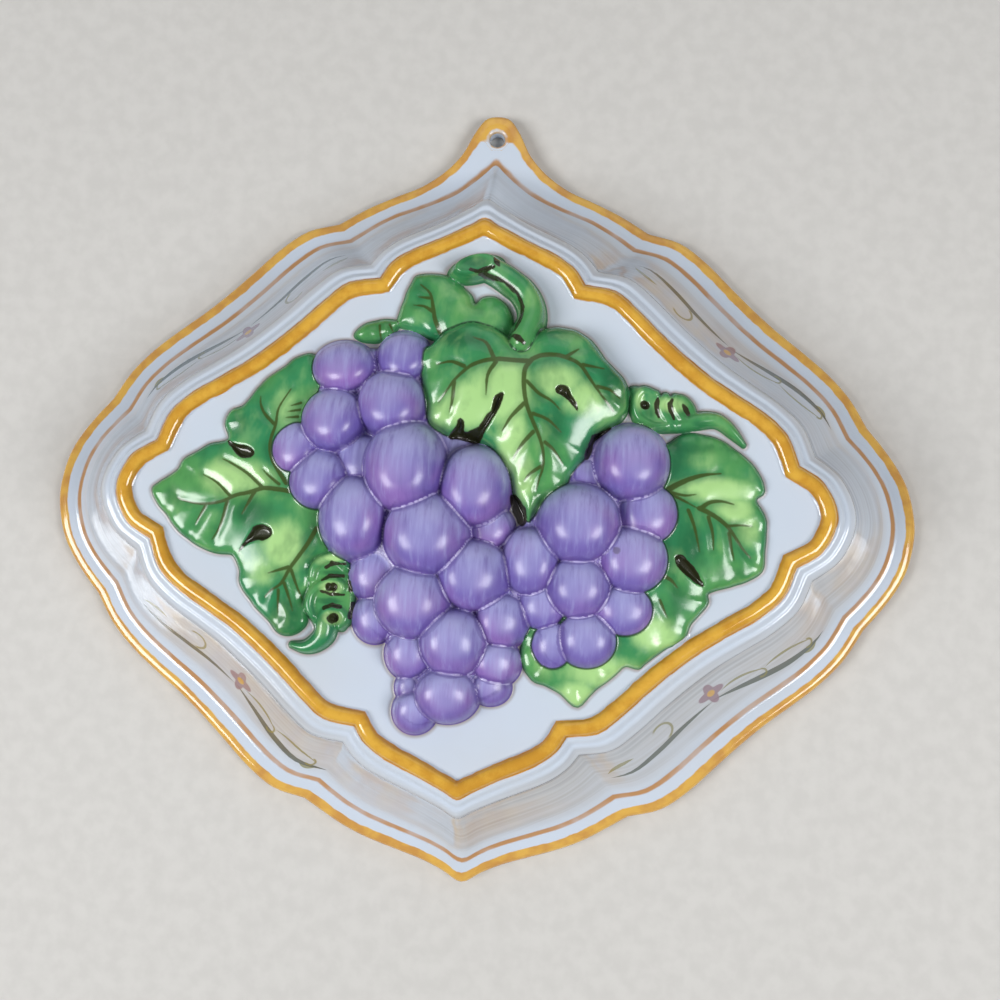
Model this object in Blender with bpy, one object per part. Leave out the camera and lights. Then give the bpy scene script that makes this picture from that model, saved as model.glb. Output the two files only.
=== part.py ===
"""Ceramic jelly mold: a hollow porcelain mold with grapes and vine leaves in relief.

The piece is one slip casting. It lies face up on its open rim, as it would be
stored or photographed, and it can be hung by the hole in the lug at its top.
Sizes are in millimetres until a mesh is made, which is in metres. The origin is
under the middle of the whole outline, lug included: +X runs across the face,
+Y towards the lug and +Z out of the decorated face.

The outline is drawn about the middle of the rim without the lug, here called
the heart of the panel, and is moved to the origin when a mesh is made.
"""
import math

import bmesh
import bpy

MM = 0.001

# The outline, side to side and tip to tip
RIM_WIDTH = 216.0
RIM_HEIGHT = 182.0
PANEL_WIDTH = 160.6
PANEL_HEIGHT = 129.4

# The cast wall and its profile
WALL = 4.0
RIM_THICKNESS = 4.2
RIM_ROLL = 1.5
FLANGE_WIDTH = 5.5
PANEL_RISE = 33.0
BAND_WIDTH = 3.7
BAND_RISE = 1.9
BAND_FOOT = 0.5
SHOULDER_WIDTH = 2.2
SHOULDER_DROP = 1.4
STEP_WIDTH = 1.7
STEP_DROP = 1.9
STEPS = 2
UNDER_ROLL = 0.9
MOUTH_SLOPE = 1.1
CEILING_EASE = 2.0
TABLE_EASE = 1.0

# How the band, the steps, the shoulder and the flare are rounded, as shares of
# their widths and heights
BAND_RINGS = ((1.0, 0.45), (0.72, 1.0), (0.26, 0.9))
STEP_NOSE = (0.35, 0.9)
SHOULDER_NOSE = 0.45
FLARE_SHARES = (0.0, 0.25, 0.6, 1.0)
FLARE_CURVE = 1.35
BAND_OUTER_DROP = 0.3

# The lug at the top and its hanging hole
LUG_REACH = 12.0
LUG_RADIUS = 6.6
LUG_FLARE = 11.0
LUG_FLARE_DROP = 1.2
LUG_ARC = (90, 62, 34, 6)
HOLE_DIAMETER = 4.0
HOLE_SIDES = 16

# The relief: how deep it is rooted in the panel, and how its forms are faceted
ROOT = 1.6
GRAPE_FLATNESS = 0.9
GRAPE_SIDES = 12
SMALL_GRAPE = 5.5
SMALL_GRAPE_SIDES = 10
GRAPE_SWELL = 1.05
GRAPE_RINGS = (0, 30, 62)
MOUND_SIDES = 14
MOUND_RINGS = (0, 28, 58)
CUTTER_OVERRUN = 1.0
STEM_RADIUS = 2.7
STEM_SIDES = 10
TENDRIL_RADIUS = 1.15
TENDRIL_SIDES = 6
COIL_REACH = 3.0
COIL_RISE = 2.3
COIL_MIDDLE = 0.9
COIL_POINTS = 9

# A quarter of each outline from its tip to its side, as shares of its half
# width and half height. Each runs in three smooth stretches that meet in a notch.
# The upper tip of the rim is drawn out a little further, to carry the lug.
RIM_QUARTER = (
    ((0.0, 1.0), (0.045, 0.972), (0.1, 0.944), (0.19, 0.91), (0.27, 0.873), (0.37, 0.803)),
    ((0.37, 0.803), (0.463, 0.768), (0.555, 0.67), (0.65, 0.563), (0.745, 0.473),
     (0.82, 0.395), (0.865, 0.325), (0.888, 0.276)),
    ((0.888, 0.276), (0.937, 0.205), (0.98, 0.12), (1.0, 0.0)),
)
UPPER_TIP = ((0.0, 1.064), (0.045, 1.008), (0.1, 0.957), (0.19, 0.91), (0.27, 0.873),
             (0.37, 0.803))
PANEL_QUARTER = (
    ((0.0, 1.0), (0.12, 0.926), (0.215, 0.87), (0.262, 0.825), (0.288, 0.774)),
    ((0.288, 0.774), (0.36, 0.765), (0.436, 0.695), (0.5, 0.618), (0.623, 0.487),
     (0.747, 0.386), (0.825, 0.322), (0.872, 0.25), (0.893, 0.172)),
    ((0.893, 0.172), (0.955, 0.125), (0.99, 0.055), (1.0, 0.0)),
)
STRETCH_DIVISIONS = (8, 9, 5)
TIP_CROWDING = 1.3
MITRE_LIMIT = 0.8

# Into how many short steps each kind of smooth line is worked out
OUTLINE_STEPS = 12
LEAF_LINE_STEPS = 8
STEM_LINE_STEPS = 2

# The panel size that the relief's places below are drawn for
DRAWN_WIDTH = 160.6
DRAWN_HEIGHT = 129.4

# Grapes: place across and up from the heart of the panel, half width, half
# height and how far the grape's middle stands above the panel. They swell past
# these halves, because they press into each other.
LEFT_BUNCH = (
    (-29.5, 29.0, 6.3, 5.8, 1.0),
    (-16.5, 32.0, 5.9, 5.9, 1.0),
    (-31.5, 17.0, 6.8, 6.8, 3.0),
    (-18.5, 21.0, 7.3, 7.4, 3.4),
    (-40.5, 9.5, 4.6, 4.9, 0.2),
    (-34.0, 3.5, 6.6, 6.6, 2.0),
    (-25.0, 8.5, 6.0, 6.0, 0.4),
    (-14.5, 7.0, 8.4, 9.4, 6.0),
    (1.0, 3.5, 7.3, 8.5, 3.8),
    (-25.5, -4.5, 7.3, 8.7, 4.0),
    (-9.0, -8.0, 8.8, 8.8, 5.4),
    (5.0, -5.5, 5.0, 5.0, 0.4),
    (-16.5, -2.5, 4.6, 4.6, 2.0),
    (-5.5, 0.0, 4.4, 4.4, 2.0),
    (-21.0, -17.0, 5.0, 5.2, 0.6),
    (-11.5, -22.5, 7.8, 7.8, 4.0),
    (2.0, -16.0, 7.4, 7.3, 3.2),
    (-20.5, -26.5, 4.8, 5.0, 0.4),
    (-2.0, -30.5, 7.2, 7.1, 3.6),
    (8.5, -25.5, 5.6, 5.6, 1.4),
    (-12.0, -34.0, 5.2, 5.2, 1.0),
    (8.0, -35.0, 4.7, 4.7, 0.8),
    (-3.0, -42.5, 6.9, 5.8, 2.2),
    (-12.5, -41.0, 3.3, 3.3, 0.0),
    (-10.0, -46.5, 4.7, 4.5, 0.4),
    (7.0, -41.0, 4.3, 4.0, 0.0),
)
RIGHT_BUNCH = (
    (35.0, 9.5, 8.1, 8.1, 4.4),
    (24.0, -4.0, 8.5, 8.4, 5.0),
    (39.0, -1.0, 6.6, 6.6, 1.0),
    (36.5, -11.0, 7.2, 7.1, 2.6),
    (13.5, -12.5, 6.0, 7.2, 2.6),
    (24.5, -18.0, 6.8, 6.7, 3.6),
    (29.0, -11.5, 4.2, 4.2, 2.0),
    (25.5, 7.5, 4.2, 4.2, 0.0),
    (16.5, -22.0, 5.3, 5.2, 1.0),
    (35.0, -22.0, 5.8, 5.8, 1.0),
    (26.5, -29.0, 6.2, 5.8, 1.6),
    (19.0, -31.0, 4.3, 4.5, 0.4),
)

# Under each bunch the casting rises in a mound that is hollow from below: place,
# half width, half height and rise above the panel
MOUNDS = (
    (-11.0, -5.0, 15.0, 27.0, 5.5),
    (27.0, -6.0, 13.5, 18.0, 5.0),
)

# Leaves: the outline, the point where the blade stands highest, and the heights
# of that point and of the edge above the panel
LEAVES = {
    "crown": (
        ((-13.0, 31.0), (-9.0, 36.5), (-2.5, 39.5), (5.5, 38.0), (10.5, 35.0), (15.0, 39.0),
         (22.5, 38.5), (27.0, 34.0), (33.0, 27.0), (33.5, 21.0), (27.0, 16.0), (25.5, 11.0),
         (20.5, 4.5), (13.5, -3.0), (10.0, 2.5), (7.5, 8.0), (2.0, 14.0), (-5.0, 13.5),
         (-10.5, 17.5), (-12.0, 24.5)),
        (10.0, 25.0), 8.4, 4.6),
    "left": (
        ((-37.0, 31.5), (-43.0, 28.5), (-51.5, 21.5), (-56.5, 16.5), (-55.0, 11.5),
         (-61.5, 9.0), (-67.0, 3.0), (-71.5, 0.0), (-68.5, -4.5), (-61.5, -10.5),
         (-56.0, -13.5), (-51.5, -14.5), (-50.0, -20.5), (-44.5, -27.0), (-39.5, -31.0),
         (-35.5, -29.5), (-31.0, -22.5), (-25.5, -20.5), (-26.0, -9.5), (-31.0, -1.0),
         (-34.0, 10.0), (-32.5, 23.5)),
        (-38.0, 1.0), 3.2, 1.8),
    "right": (
        ((42.0, 14.5), (49.5, 17.0), (59.0, 12.5), (64.0, 5.0), (62.0, 3.0), (64.5, -1.5),
         (64.5, -8.5), (63.5, -12.5), (59.5, -15.0), (52.5, -17.0), (52.0, -20.5),
         (47.5, -28.0), (40.5, -33.0), (35.0, -34.0), (29.0, -39.5), (25.5, -43.0),
         (18.5, -39.0), (13.0, -35.0), (12.5, -31.0), (14.5, -26.5), (20.5, -20.5),
         (33.0, -11.5), (37.0, 2.0)),
        (36.5, -14.5), 3.4, 1.8),
    "back": (
        ((-18.0, 42.0), (-16.5, 47.5), (-14.0, 50.0), (-7.0, 50.0), (-3.5, 47.5), (-1.0, 44.0),
         (2.5, 46.0), (7.0, 43.5), (8.0, 38.0), (5.0, 34.0), (-8.5, 32.5), (-16.0, 36.5)),
        (-6.5, 40.0), 3.8, 1.6),
    "bud": (
        ((-28.0, 37.5), (-24.0, 40.0), (-19.0, 40.5), (-15.5, 39.0), (-16.0, 35.0),
         (-22.5, 34.5)),
        (-20.5, 37.5), 2.6, 1.0),
}
LEAF_STEP = 4.3
LEAF_EDGE_ROUND = 0.6

# A leaf's two inner rings: share of the way out from its highest point, and
# share of the rise from its edge to that point
LEAF_RINGS = ((0.84, 0.35), (0.45, 0.85))

# The stem: its middle line from the cut end to the crown leaf, with the height
# of that line above the panel
STEM_LINE = (
    (-3.5, 53.0, 3.4), (1.5, 53.0, 3.1), (6.5, 50.0, 2.9), (9.5, 46.5, 3.0),
    (11.5, 42.5, 3.6), (11.5, 39.0, 4.6), (10.5, 35.5, 5.4),
)

# Tendrils: where each coil starts and ends, its turns, and the tail that follows,
# each tail point with its share of the tendril's radius
TENDRILS = {
    "right": ((34.5, 23.5), (47.5, 22.5), 2.25,
              ((50.5, 21.0, 1.15), (54.0, 21.0, 1.1), (56.5, 18.5, 0.85), (59.0, 15.0, 0.45))),
    "left": ((-30.0, -14.5), (-28.5, -27.0), 2.25,
             ((-30.5, -30.0, 1.35), (-33.0, -33.0, 1.2), (-36.0, -33.5, 0.9), (-38.0, -33.0, 0.5))),
}

half_rim = (RIM_WIDTH / 2, RIM_HEIGHT / 2)
half_panel = (PANEL_WIDTH / 2, PANEL_HEIGHT / 2)
lug_top = half_rim[1] + LUG_REACH
hole_centre = (0.0, lug_top - LUG_RADIUS)
centre_height = (lug_top - half_rim[1]) / 2
ceiling = PANEL_RISE - WALL
relief_scale = (PANEL_WIDTH / DRAWN_WIDTH, PANEL_HEIGHT / DRAWN_HEIGHT)


def clear_scene():
    """Remove whatever the file opened with."""
    for item in list(bpy.data.objects):
        bpy.data.objects.remove(item, do_unlink=True)


def blend(a, b, share):
    """A point, of any length, part of the way from a to b."""
    return tuple(p + (q - p) * share for p, q in zip(a, b))


def spline_point(before, start, end, after, share):
    """A point on the smooth curve that runs from start to end."""
    square = share * share
    cube = square * share
    return tuple(
        0.5 * (2 * q + (r - p) * share + (2 * p - 5 * q + 4 * r - s) * square
               + (3 * q - p - 3 * r + s) * cube)
        for p, q, r, s in zip(before, start, end, after))


def smooth_line(points, fine, closed=False):
    """The smooth curve through points, as a chain of close points."""
    count = len(points)
    spans = count if closed else count - 1
    line = []
    for index in range(spans):
        start = points[index]
        end = points[(index + 1) % count]
        before = points[index - 1] if closed or index else blend(start, end, -1)
        last = not closed and index == spans - 1
        after = blend(end, start, -1) if last else points[(index + 2) % count]
        line += [spline_point(before, start, end, after, step / fine) for step in range(fine)]
    if not closed:
        line.append(points[-1])
    return line


def spread(line, shares):
    """Points along a chain at the given shares of its length."""
    lengths = [0.0]
    for a, b in zip(line, line[1:]):
        lengths.append(lengths[-1] + math.dist(a, b))
    points = []
    index = 0
    for share in shares:
        target = share * lengths[-1]
        while index < len(line) - 2 and lengths[index + 1] < target:
            index += 1
        span = lengths[index + 1] - lengths[index]
        points.append(blend(line[index], line[index + 1], (target - lengths[index]) / span))
    return points


def scaled(shares, half):
    """Points given as shares of a half width and a half height."""
    return [(x * half[0], y * half[1]) for x, y in shares]


def lug_stretch():
    """From the top of the lug down its side to the rim's first notch."""
    arc = [math.radians(angle) for angle in LUG_ARC]
    points = [(LUG_RADIUS * math.cos(a), hole_centre[1] + LUG_RADIUS * math.sin(a)) for a in arc]
    points.append((LUG_FLARE, half_rim[1] - LUG_FLARE_DROP))
    points += scaled(UPPER_TIP[3:], half_rim)
    return points


def quarter(stretches, half, tip=None):
    """A quarter outline from its tip to just before its side."""
    points = []
    for number, stretch in enumerate(stretches):
        drawn = tip if tip and number == 0 else scaled(stretch, half)
        if number == 2:
            mirrored = (drawn[-2][0], -drawn[-2][1])
            line = smooth_line(drawn + [mirrored], OUTLINE_STEPS)[:-OUTLINE_STEPS]
        else:
            line = smooth_line(drawn, OUTLINE_STEPS)
        divisions = STRETCH_DIVISIONS[number]
        crowding = TIP_CROWDING if tip and number == 0 else 1.0
        shares = [(step / divisions) ** crowding for step in range(divisions)]
        points += spread(line, shares)
    points.append((half[0], 0.0))
    return points


def outline(stretches, half, upper_tip=None):
    """A whole outline, from the upper tip round to the right and back."""
    lower = quarter(stretches, half)
    upper = quarter(stretches, half, upper_tip) if upper_tip else lower
    right = upper[:-1] + [(x, -y) for x, y in reversed(lower)]
    left = [(-x, y) for x, y in reversed(right[1:-1])]
    return right + left


def inset(line, distance):
    """A closed outline moved inwards by a distance, square to itself."""
    count = len(line)
    moved = []
    for index, point in enumerate(line):
        back = line[index - 1]
        front = line[(index + 1) % count]
        first = math.atan2(point[1] - back[1], point[0] - back[0])
        second = math.atan2(front[1] - point[1], front[0] - point[0])
        turn = math.remainder(second - first, math.tau)
        reach = distance / max(math.cos(turn / 2), MITRE_LIMIT)
        inward = first + turn / 2 - math.pi / 2
        moved.append((point[0] + reach * math.cos(inward), point[1] + reach * math.sin(inward)))
    return moved


def step_towards(line, target, distance):
    """Each point of an outline moved a distance towards its match on another."""
    return [blend(p, q, min(distance / math.dist(p, q), 1.0)) for p, q in zip(line, target)]


def between(line, target, share):
    """An outline part of the way from one to another."""
    return [blend(p, q, share) for p, q in zip(line, target)]


def skirt_run():
    """The mean distance from the rim's outline to the panel's."""
    across = half_rim[0] - half_panel[0]
    upright = half_rim[1] - half_panel[1]
    return (across + upright) / 2


def skirt_profile():
    """The skirt from the flange to the foot of the band: inward run and height."""
    run = skirt_run()
    top = PANEL_RISE - BAND_OUTER_DROP
    steps_start = run - SHOULDER_WIDTH - STEPS * STEP_WIDTH
    steps_foot = top - SHOULDER_DROP - STEPS * STEP_DROP
    width = steps_start - FLANGE_WIDTH
    height = steps_foot - RIM_THICKNESS
    profile = [(FLANGE_WIDTH + width * share, RIM_THICKNESS + height * share ** FLARE_CURVE)
               for share in FLARE_SHARES]
    for number in range(STEPS):
        foot = steps_start + number * STEP_WIDTH
        level = steps_foot + number * STEP_DROP
        profile.append((foot + STEP_NOSE[0] * STEP_WIDTH, level + STEP_NOSE[1] * STEP_DROP))
    profile.append((run - SHOULDER_WIDTH, top - SHOULDER_DROP))
    profile.append((run - SHOULDER_NOSE * SHOULDER_WIDTH, top))
    profile.append((run, top))
    return profile


def inner_profile(profile):
    """The underside of a profile, one wall away from it, above the table."""
    under = []
    for index in range(1, len(profile) - 1):
        back = profile[index - 1]
        front = profile[index + 1]
        slope = math.atan2(front[1] - back[1], front[0] - back[0])
        run = profile[index][0] + WALL * math.sin(slope)
        height = profile[index][1] - WALL * math.cos(slope)
        under.append((run, height))
    return under


def shell_rings():
    """Every ring of the hollow casting, from the panel out, round and back inside."""
    rim = outline(RIM_QUARTER, half_rim, scaled(UPPER_TIP, half_rim))
    rim_with_lug = outline(RIM_QUARTER, half_rim, lug_stretch())
    panel = outline(PANEL_QUARTER, half_panel)
    run = skirt_run()
    profile = skirt_profile()
    flange_end = between(rim, panel, FLANGE_WIDTH / run)

    rings = [(inset(panel, BAND_WIDTH + BAND_FOOT), PANEL_RISE)]
    for share, rise in BAND_RINGS:
        rings.append((inset(panel, share * BAND_WIDTH), PANEL_RISE + rise * BAND_RISE))
    for distance, height in reversed(profile):
        rings.append((between(rim, panel, distance / run), height))
    rings.append((step_towards(rim_with_lug, flange_end, RIM_ROLL), RIM_THICKNESS))
    rings.append((rim_with_lug, RIM_THICKNESS / 2))
    rings.append((step_towards(rim_with_lug, flange_end, UNDER_ROLL), 0.0))

    under = [point for point in inner_profile(profile) if point[1] > TABLE_EASE]
    mouth = under[0][0] - MOUTH_SLOPE * under[0][1]
    rings.append((between(rim, panel, mouth / run), 0.0))
    kept = [under[0]] + [point for point in under[1:] if point[1] < ceiling - CEILING_EASE]
    for distance, height in kept:
        rings.append((between(rim, panel, distance / run), height))
    rings.append((inset(panel, WALL), ceiling))
    return rings


def placed(x, y, height):
    """A point in metres, moved from the panel's heart to the origin."""
    return (x * MM, (y - centre_height) * MM, height * MM)


def object_from(bmesh_data, name):
    """A smooth-shaded object made of a mesh in hand."""
    bmesh.ops.recalc_face_normals(bmesh_data, faces=bmesh_data.faces)
    mesh = bpy.data.meshes.new(name)
    bmesh_data.to_mesh(mesh)
    bmesh_data.free()
    mesh.shade_smooth()
    item = bpy.data.objects.new(name, mesh)
    bpy.context.scene.collection.objects.link(item)
    return item


def stack_rings(rings, name):
    """A closed solid through rings of equal count, each a list of 3-D points."""
    solid = bmesh.new()
    loops = [[solid.verts.new(point) for point in ring] for ring in rings]
    for lower, upper in zip(loops, loops[1:]):
        if len(upper) == 1:
            for index, vertex in enumerate(lower):
                solid.faces.new((vertex, lower[(index + 1) % len(lower)], upper[0]))
            continue
        for index, vertex in enumerate(lower):
            following = (index + 1) % len(lower)
            solid.faces.new((vertex, lower[following], upper[following], upper[index]))
    for loop in (loops[0], loops[-1]):
        if len(loop) > 2:
            solid.faces.new(loop)
    return object_from(solid, name)


def make_shell():
    """The hollow casting without its relief."""
    rings = [[placed(x, y, height) for x, y in line] for line, height in shell_rings()]
    return stack_rings(rings, "jelly_mold")


def relief_point(x, y, height):
    """A point of the relief, given by its drawn place and its height above the panel."""
    return placed(x * relief_scale[0], y * relief_scale[1], PANEL_RISE + height)


def make_dome(name, place, halves, levels, sides):
    """A round-topped solid through oval rings, each a share of its halves at a height."""
    rings = []
    for share, height in levels:
        ring = []
        for side in range(sides):
            turn = math.tau * (side + 0.5) / sides
            ring.append(relief_point(place[0] + halves[0] * share * math.cos(turn),
                                     place[1] + halves[1] * share * math.sin(turn), height))
        rings.append(ring if share else ring[:1])
    return stack_rings(rings, name)


def dome_levels(base, middle, rise, elevations):
    """A straight foot from base to middle, then a round top: shares and heights."""
    levels = [(1.0, base)]
    for elevation in elevations:
        angle = math.radians(elevation)
        levels.append((math.cos(angle), middle + rise * math.sin(angle)))
    levels.append((0.0, middle + rise))
    return levels


def make_grape(name, grape):
    """One grape of a bunch, rooted in the panel."""
    x, y, half_width, half_height, lift = grape
    sides = GRAPE_SIDES if half_width > SMALL_GRAPE else SMALL_GRAPE_SIDES
    rise = GRAPE_FLATNESS * (half_width + half_height) / 2
    halves = (GRAPE_SWELL * half_width, GRAPE_SWELL * half_height)
    return make_dome(name, (x, y), halves, dome_levels(-ROOT, lift, rise, GRAPE_RINGS), sides)


def make_mound(name, mound):
    """The mound that the casting makes under a bunch."""
    x, y, half_width, half_height, rise = mound
    levels = dome_levels(-ROOT, 0.0, rise, MOUND_RINGS)
    return make_dome(name, (x, y), (half_width, half_height), levels, MOUND_SIDES)


def make_hollow(name, mound):
    """The cutter for the hollow behind a mound, up from the cavity's ceiling."""
    x, y, half_width, half_height, rise = mound
    levels = dome_levels(-WALL - CUTTER_OVERRUN, -WALL, rise, MOUND_RINGS)
    halves = (half_width - WALL, half_height - WALL)
    return make_dome(name, (x, y), halves, levels, MOUND_SIDES)


def make_leaf(name, drawn, peak, peak_height, edge_height):
    """A leaf: its outline raised from the panel and domed up to its highest point."""
    line = smooth_line(drawn, LEAF_LINE_STEPS, closed=True)
    line.append(line[0])
    length = sum(math.dist(a, b) for a, b in zip(line, line[1:]))
    count = round(length / LEAF_STEP)
    edge = spread(line, [step / count for step in range(count)])
    levels = [(1.0, -ROOT), (1.0, edge_height - LEAF_EDGE_ROUND)]
    for share, rise in LEAF_RINGS:
        levels.append((share, edge_height + rise * (peak_height - edge_height)))
    rings = []
    for share, height in levels:
        rings.append([relief_point(*blend(peak, point, share), height) for point in edge])
    rings.append([relief_point(*peak, peak_height)])
    return stack_rings(rings, name)


def make_tube(name, line, radii, sides):
    """A round bar with flat ends along a line of relief points."""
    places = [relief_point(*point) for point in line]
    rings = []
    for index, place in enumerate(places):
        back = places[max(index - 1, 0)]
        front = places[min(index + 1, len(places) - 1)]
        along = [q - p for p, q in zip(back, front)]
        length = math.hypot(*along)
        along = [value / length for value in along]
        level = math.hypot(along[0], along[1])
        across = (along[1] / level, -along[0] / level, 0.0)
        upward = (-along[2] * along[0] / level, -along[2] * along[1] / level, level)
        radius = radii[index] * MM
        ring = []
        for side in range(sides):
            turn = math.tau * side / sides
            ring.append(tuple(p + radius * (math.cos(turn) * a + math.sin(turn) * u)
                              for p, a, u in zip(place, across, upward)))
        rings.append(ring)
    return stack_rings(rings, name)


def make_stem():
    """The cut vine stem that rises from behind the crown leaf."""
    line = smooth_line(STEM_LINE, STEM_LINE_STEPS)
    return make_tube("stem", line, [STEM_RADIUS] * len(line), STEM_SIDES)


def make_tendril(name, start, end, turns, tail):
    """A tendril: a coil lying along the panel, then a tail that thins out."""
    steps = round(turns * COIL_POINTS)
    heading = math.atan2(end[1] - start[1], end[0] - start[0])
    line = []
    radii = []
    for step in range(steps + 1):
        share = step / steps
        turn = math.tau * turns * share
        sideways = COIL_REACH * math.cos(turn)
        x, y = blend(start, end, share)
        line.append((x - sideways * math.sin(heading), y + sideways * math.cos(heading),
                     COIL_MIDDLE + COIL_RISE * math.sin(turn)))
        radii.append(TENDRIL_RADIUS)
    for index, (x, y, share) in enumerate(tail):
        drop = ((len(tail) - 1 - index) / len(tail)) ** 2
        line.append((x, y, TENDRIL_RADIUS / 2 + COIL_RISE * drop))
        radii.append(TENDRIL_RADIUS * share)
    return make_tube(name, line, radii, TENDRIL_SIDES)


def make_hole_cutter():
    """The drill for the hanging hole."""
    rings = []
    radius = HOLE_DIAMETER / 2
    for height in (-CUTTER_OVERRUN, RIM_THICKNESS + CUTTER_OVERRUN):
        ring = []
        for side in range(HOLE_SIDES):
            turn = math.tau * side / HOLE_SIDES
            ring.append(placed(hole_centre[0] + radius * math.cos(turn),
                               hole_centre[1] + radius * math.sin(turn), height))
        rings.append(ring)
    return stack_rings(rings, "cutter_hole")


def gather(name, items):
    """Helper solids in a collection of their own, drawn as wires and not rendered."""
    group = bpy.data.collections.new(name)
    bpy.context.scene.collection.children.link(group)
    for item in items:
        bpy.context.scene.collection.objects.unlink(item)
        group.objects.link(item)
        item.hide_render = True
        item.display_type = "WIRE"
    return group


def add_boolean(item, name, operation, group):
    """Join a group of helper solids to an object, or cut them from it."""
    modifier = item.modifiers.new(name, "BOOLEAN")
    modifier.operation = operation
    modifier.solver = "EXACT"
    modifier.operand_type = "COLLECTION"
    modifier.collection = group


def porcelain():
    """Glazed white porcelain."""
    material = bpy.data.materials.new("white_glazed_porcelain")
    material.use_nodes = True
    shader = material.node_tree.nodes["Principled BSDF"]
    shader.inputs["Base Color"].default_value = (0.78, 0.81, 0.84, 1.0)
    shader.inputs["Roughness"].default_value = 0.15
    shader.inputs["Metallic"].default_value = 0.0
    return material


def build():
    """The jelly mold: the casting, its relief joined on, its hollows and hole cut."""
    clear_scene()
    mold = make_shell()
    mold.data.materials.append(porcelain())
    relief = [make_grape(f"grape_{number:02d}", grape)
              for number, grape in enumerate(LEFT_BUNCH + RIGHT_BUNCH)]
    relief += [make_mound(f"mound_{number}", mound) for number, mound in enumerate(MOUNDS)]
    relief += [make_leaf(f"leaf_{name}", *leaf) for name, leaf in LEAVES.items()]
    relief.append(make_stem())
    relief += [make_tendril(f"tendril_{name}", *tendril) for name, tendril in TENDRILS.items()]
    cutters = [make_hollow(f"hollow_{number}", mound) for number, mound in enumerate(MOUNDS)]
    cutters.append(make_hole_cutter())
    add_boolean(mold, "relief", "UNION", gather("relief_solids", relief))
    add_boolean(mold, "hollows", "DIFFERENCE", gather("cutters", cutters))


build()
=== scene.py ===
"""Ceramic jelly mold: the finished look of the glazed and painted casting.

One fine mesh stands for the plain solid: the same outline, wall, grapes and
leaves, with soft glaze, veins, ripples and painted lines. Sizes are in
millimetres about the heart of the panel, which is the rim's middle without the
lug, until the mesh is made in metres.
"""

import math

import bpy
import numpy as np
from mathutils import Euler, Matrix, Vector
from mathutils.geometry import delaunay_2d_cdt


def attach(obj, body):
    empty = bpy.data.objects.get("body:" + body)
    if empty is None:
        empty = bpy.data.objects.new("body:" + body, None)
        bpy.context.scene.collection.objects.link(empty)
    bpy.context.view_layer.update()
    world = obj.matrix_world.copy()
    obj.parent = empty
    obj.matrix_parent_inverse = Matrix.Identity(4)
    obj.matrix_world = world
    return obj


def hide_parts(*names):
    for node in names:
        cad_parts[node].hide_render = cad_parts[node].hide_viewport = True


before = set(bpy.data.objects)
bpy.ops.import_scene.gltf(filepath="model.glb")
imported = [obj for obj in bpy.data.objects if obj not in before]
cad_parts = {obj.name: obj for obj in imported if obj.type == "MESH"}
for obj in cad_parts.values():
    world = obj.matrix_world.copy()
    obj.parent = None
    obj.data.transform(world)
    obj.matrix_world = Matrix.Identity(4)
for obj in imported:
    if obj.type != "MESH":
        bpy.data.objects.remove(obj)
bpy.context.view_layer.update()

MM = 0.001

# The photograph's camera: its place in millimetres from the part's origin, its
# turns, and its focal length in pixels of a square frame
CAMERA_PLACE = (16.26, -22.64, 254.45)
CAMERA_TURNS = (4.619, 2.336, 2.707)
FOCAL_PIXELS = 1003.0
FRAME_PIXELS = 1000.0
SENSOR = 36.0

# The outline, side to side and tip to tip
RIM_WIDTH = 216.0
RIM_HEIGHT = 182.0
PANEL_WIDTH = 160.6
PANEL_HEIGHT = 129.4

# The cast wall and its profile
WALL = 4.0
RIM_THICKNESS = 4.2
RIM_ROLL = 1.5
UNDER_ROLL = 0.9
FLANGE_WIDTH = 5.5
PANEL_RISE = 33.0
BAND_WIDTH = 3.7
BAND_RISE = 1.8
BAND_FOOT = 0.5
BAND_OUTER_DROP = 0.3
SHOULDER_WIDTH = 2.2
SHOULDER_DROP = 1.4
SHOULDER_NOSE = 0.45
STEP_WIDTH = 1.7
STEP_DROP = 1.9
STEP_NOSE = (0.35, 0.9)
STEPS = 2
FLARE_SHARES = (0.0, 0.25, 0.6, 1.0)
FLARE_CURVE = 1.35
MOUTH_SLOPE = 1.1
CEILING_EASE = 2.0
TABLE_EASE = 1.0

# The lug at the top and its hanging hole
LUG_REACH = 12.0
LUG_RADIUS = 6.6
LUG_FLARE = 11.0
LUG_FLARE_DROP = 1.2
LUG_ARC = (90, 62, 34, 6)
HOLE_RADIUS = 2.0
HOLE_SIDES = 40
HOLE_CLEARING = 4.4
HOLE_LIP = ((0.55, 0.0), (0.22, 0.12), (0.04, 0.4), (0.0, 0.9))

# A quarter of each outline from its tip to its side, as shares of its half
# width and half height. Each runs in three smooth stretches that meet in a notch.
RIM_QUARTER = (
    ((0.0, 1.0), (0.045, 0.972), (0.1, 0.944), (0.19, 0.91), (0.27, 0.873), (0.37, 0.803)),
    ((0.37, 0.803), (0.463, 0.768), (0.555, 0.67), (0.65, 0.563), (0.745, 0.473),
     (0.82, 0.395), (0.865, 0.325), (0.888, 0.276)),
    ((0.888, 0.276), (0.937, 0.205), (0.98, 0.12), (1.0, 0.0)),
)
UPPER_TIP = ((0.0, 1.064), (0.045, 1.008), (0.1, 0.957), (0.19, 0.91), (0.27, 0.873),
             (0.37, 0.803))
PANEL_QUARTER = (
    ((0.0, 1.0), (0.12, 0.926), (0.215, 0.87), (0.262, 0.825), (0.288, 0.774)),
    ((0.288, 0.774), (0.36, 0.765), (0.436, 0.695), (0.5, 0.618), (0.623, 0.487),
     (0.747, 0.386), (0.825, 0.322), (0.872, 0.25), (0.893, 0.172)),
    ((0.893, 0.172), (0.955, 0.125), (0.99, 0.055), (1.0, 0.0)),
)

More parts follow.
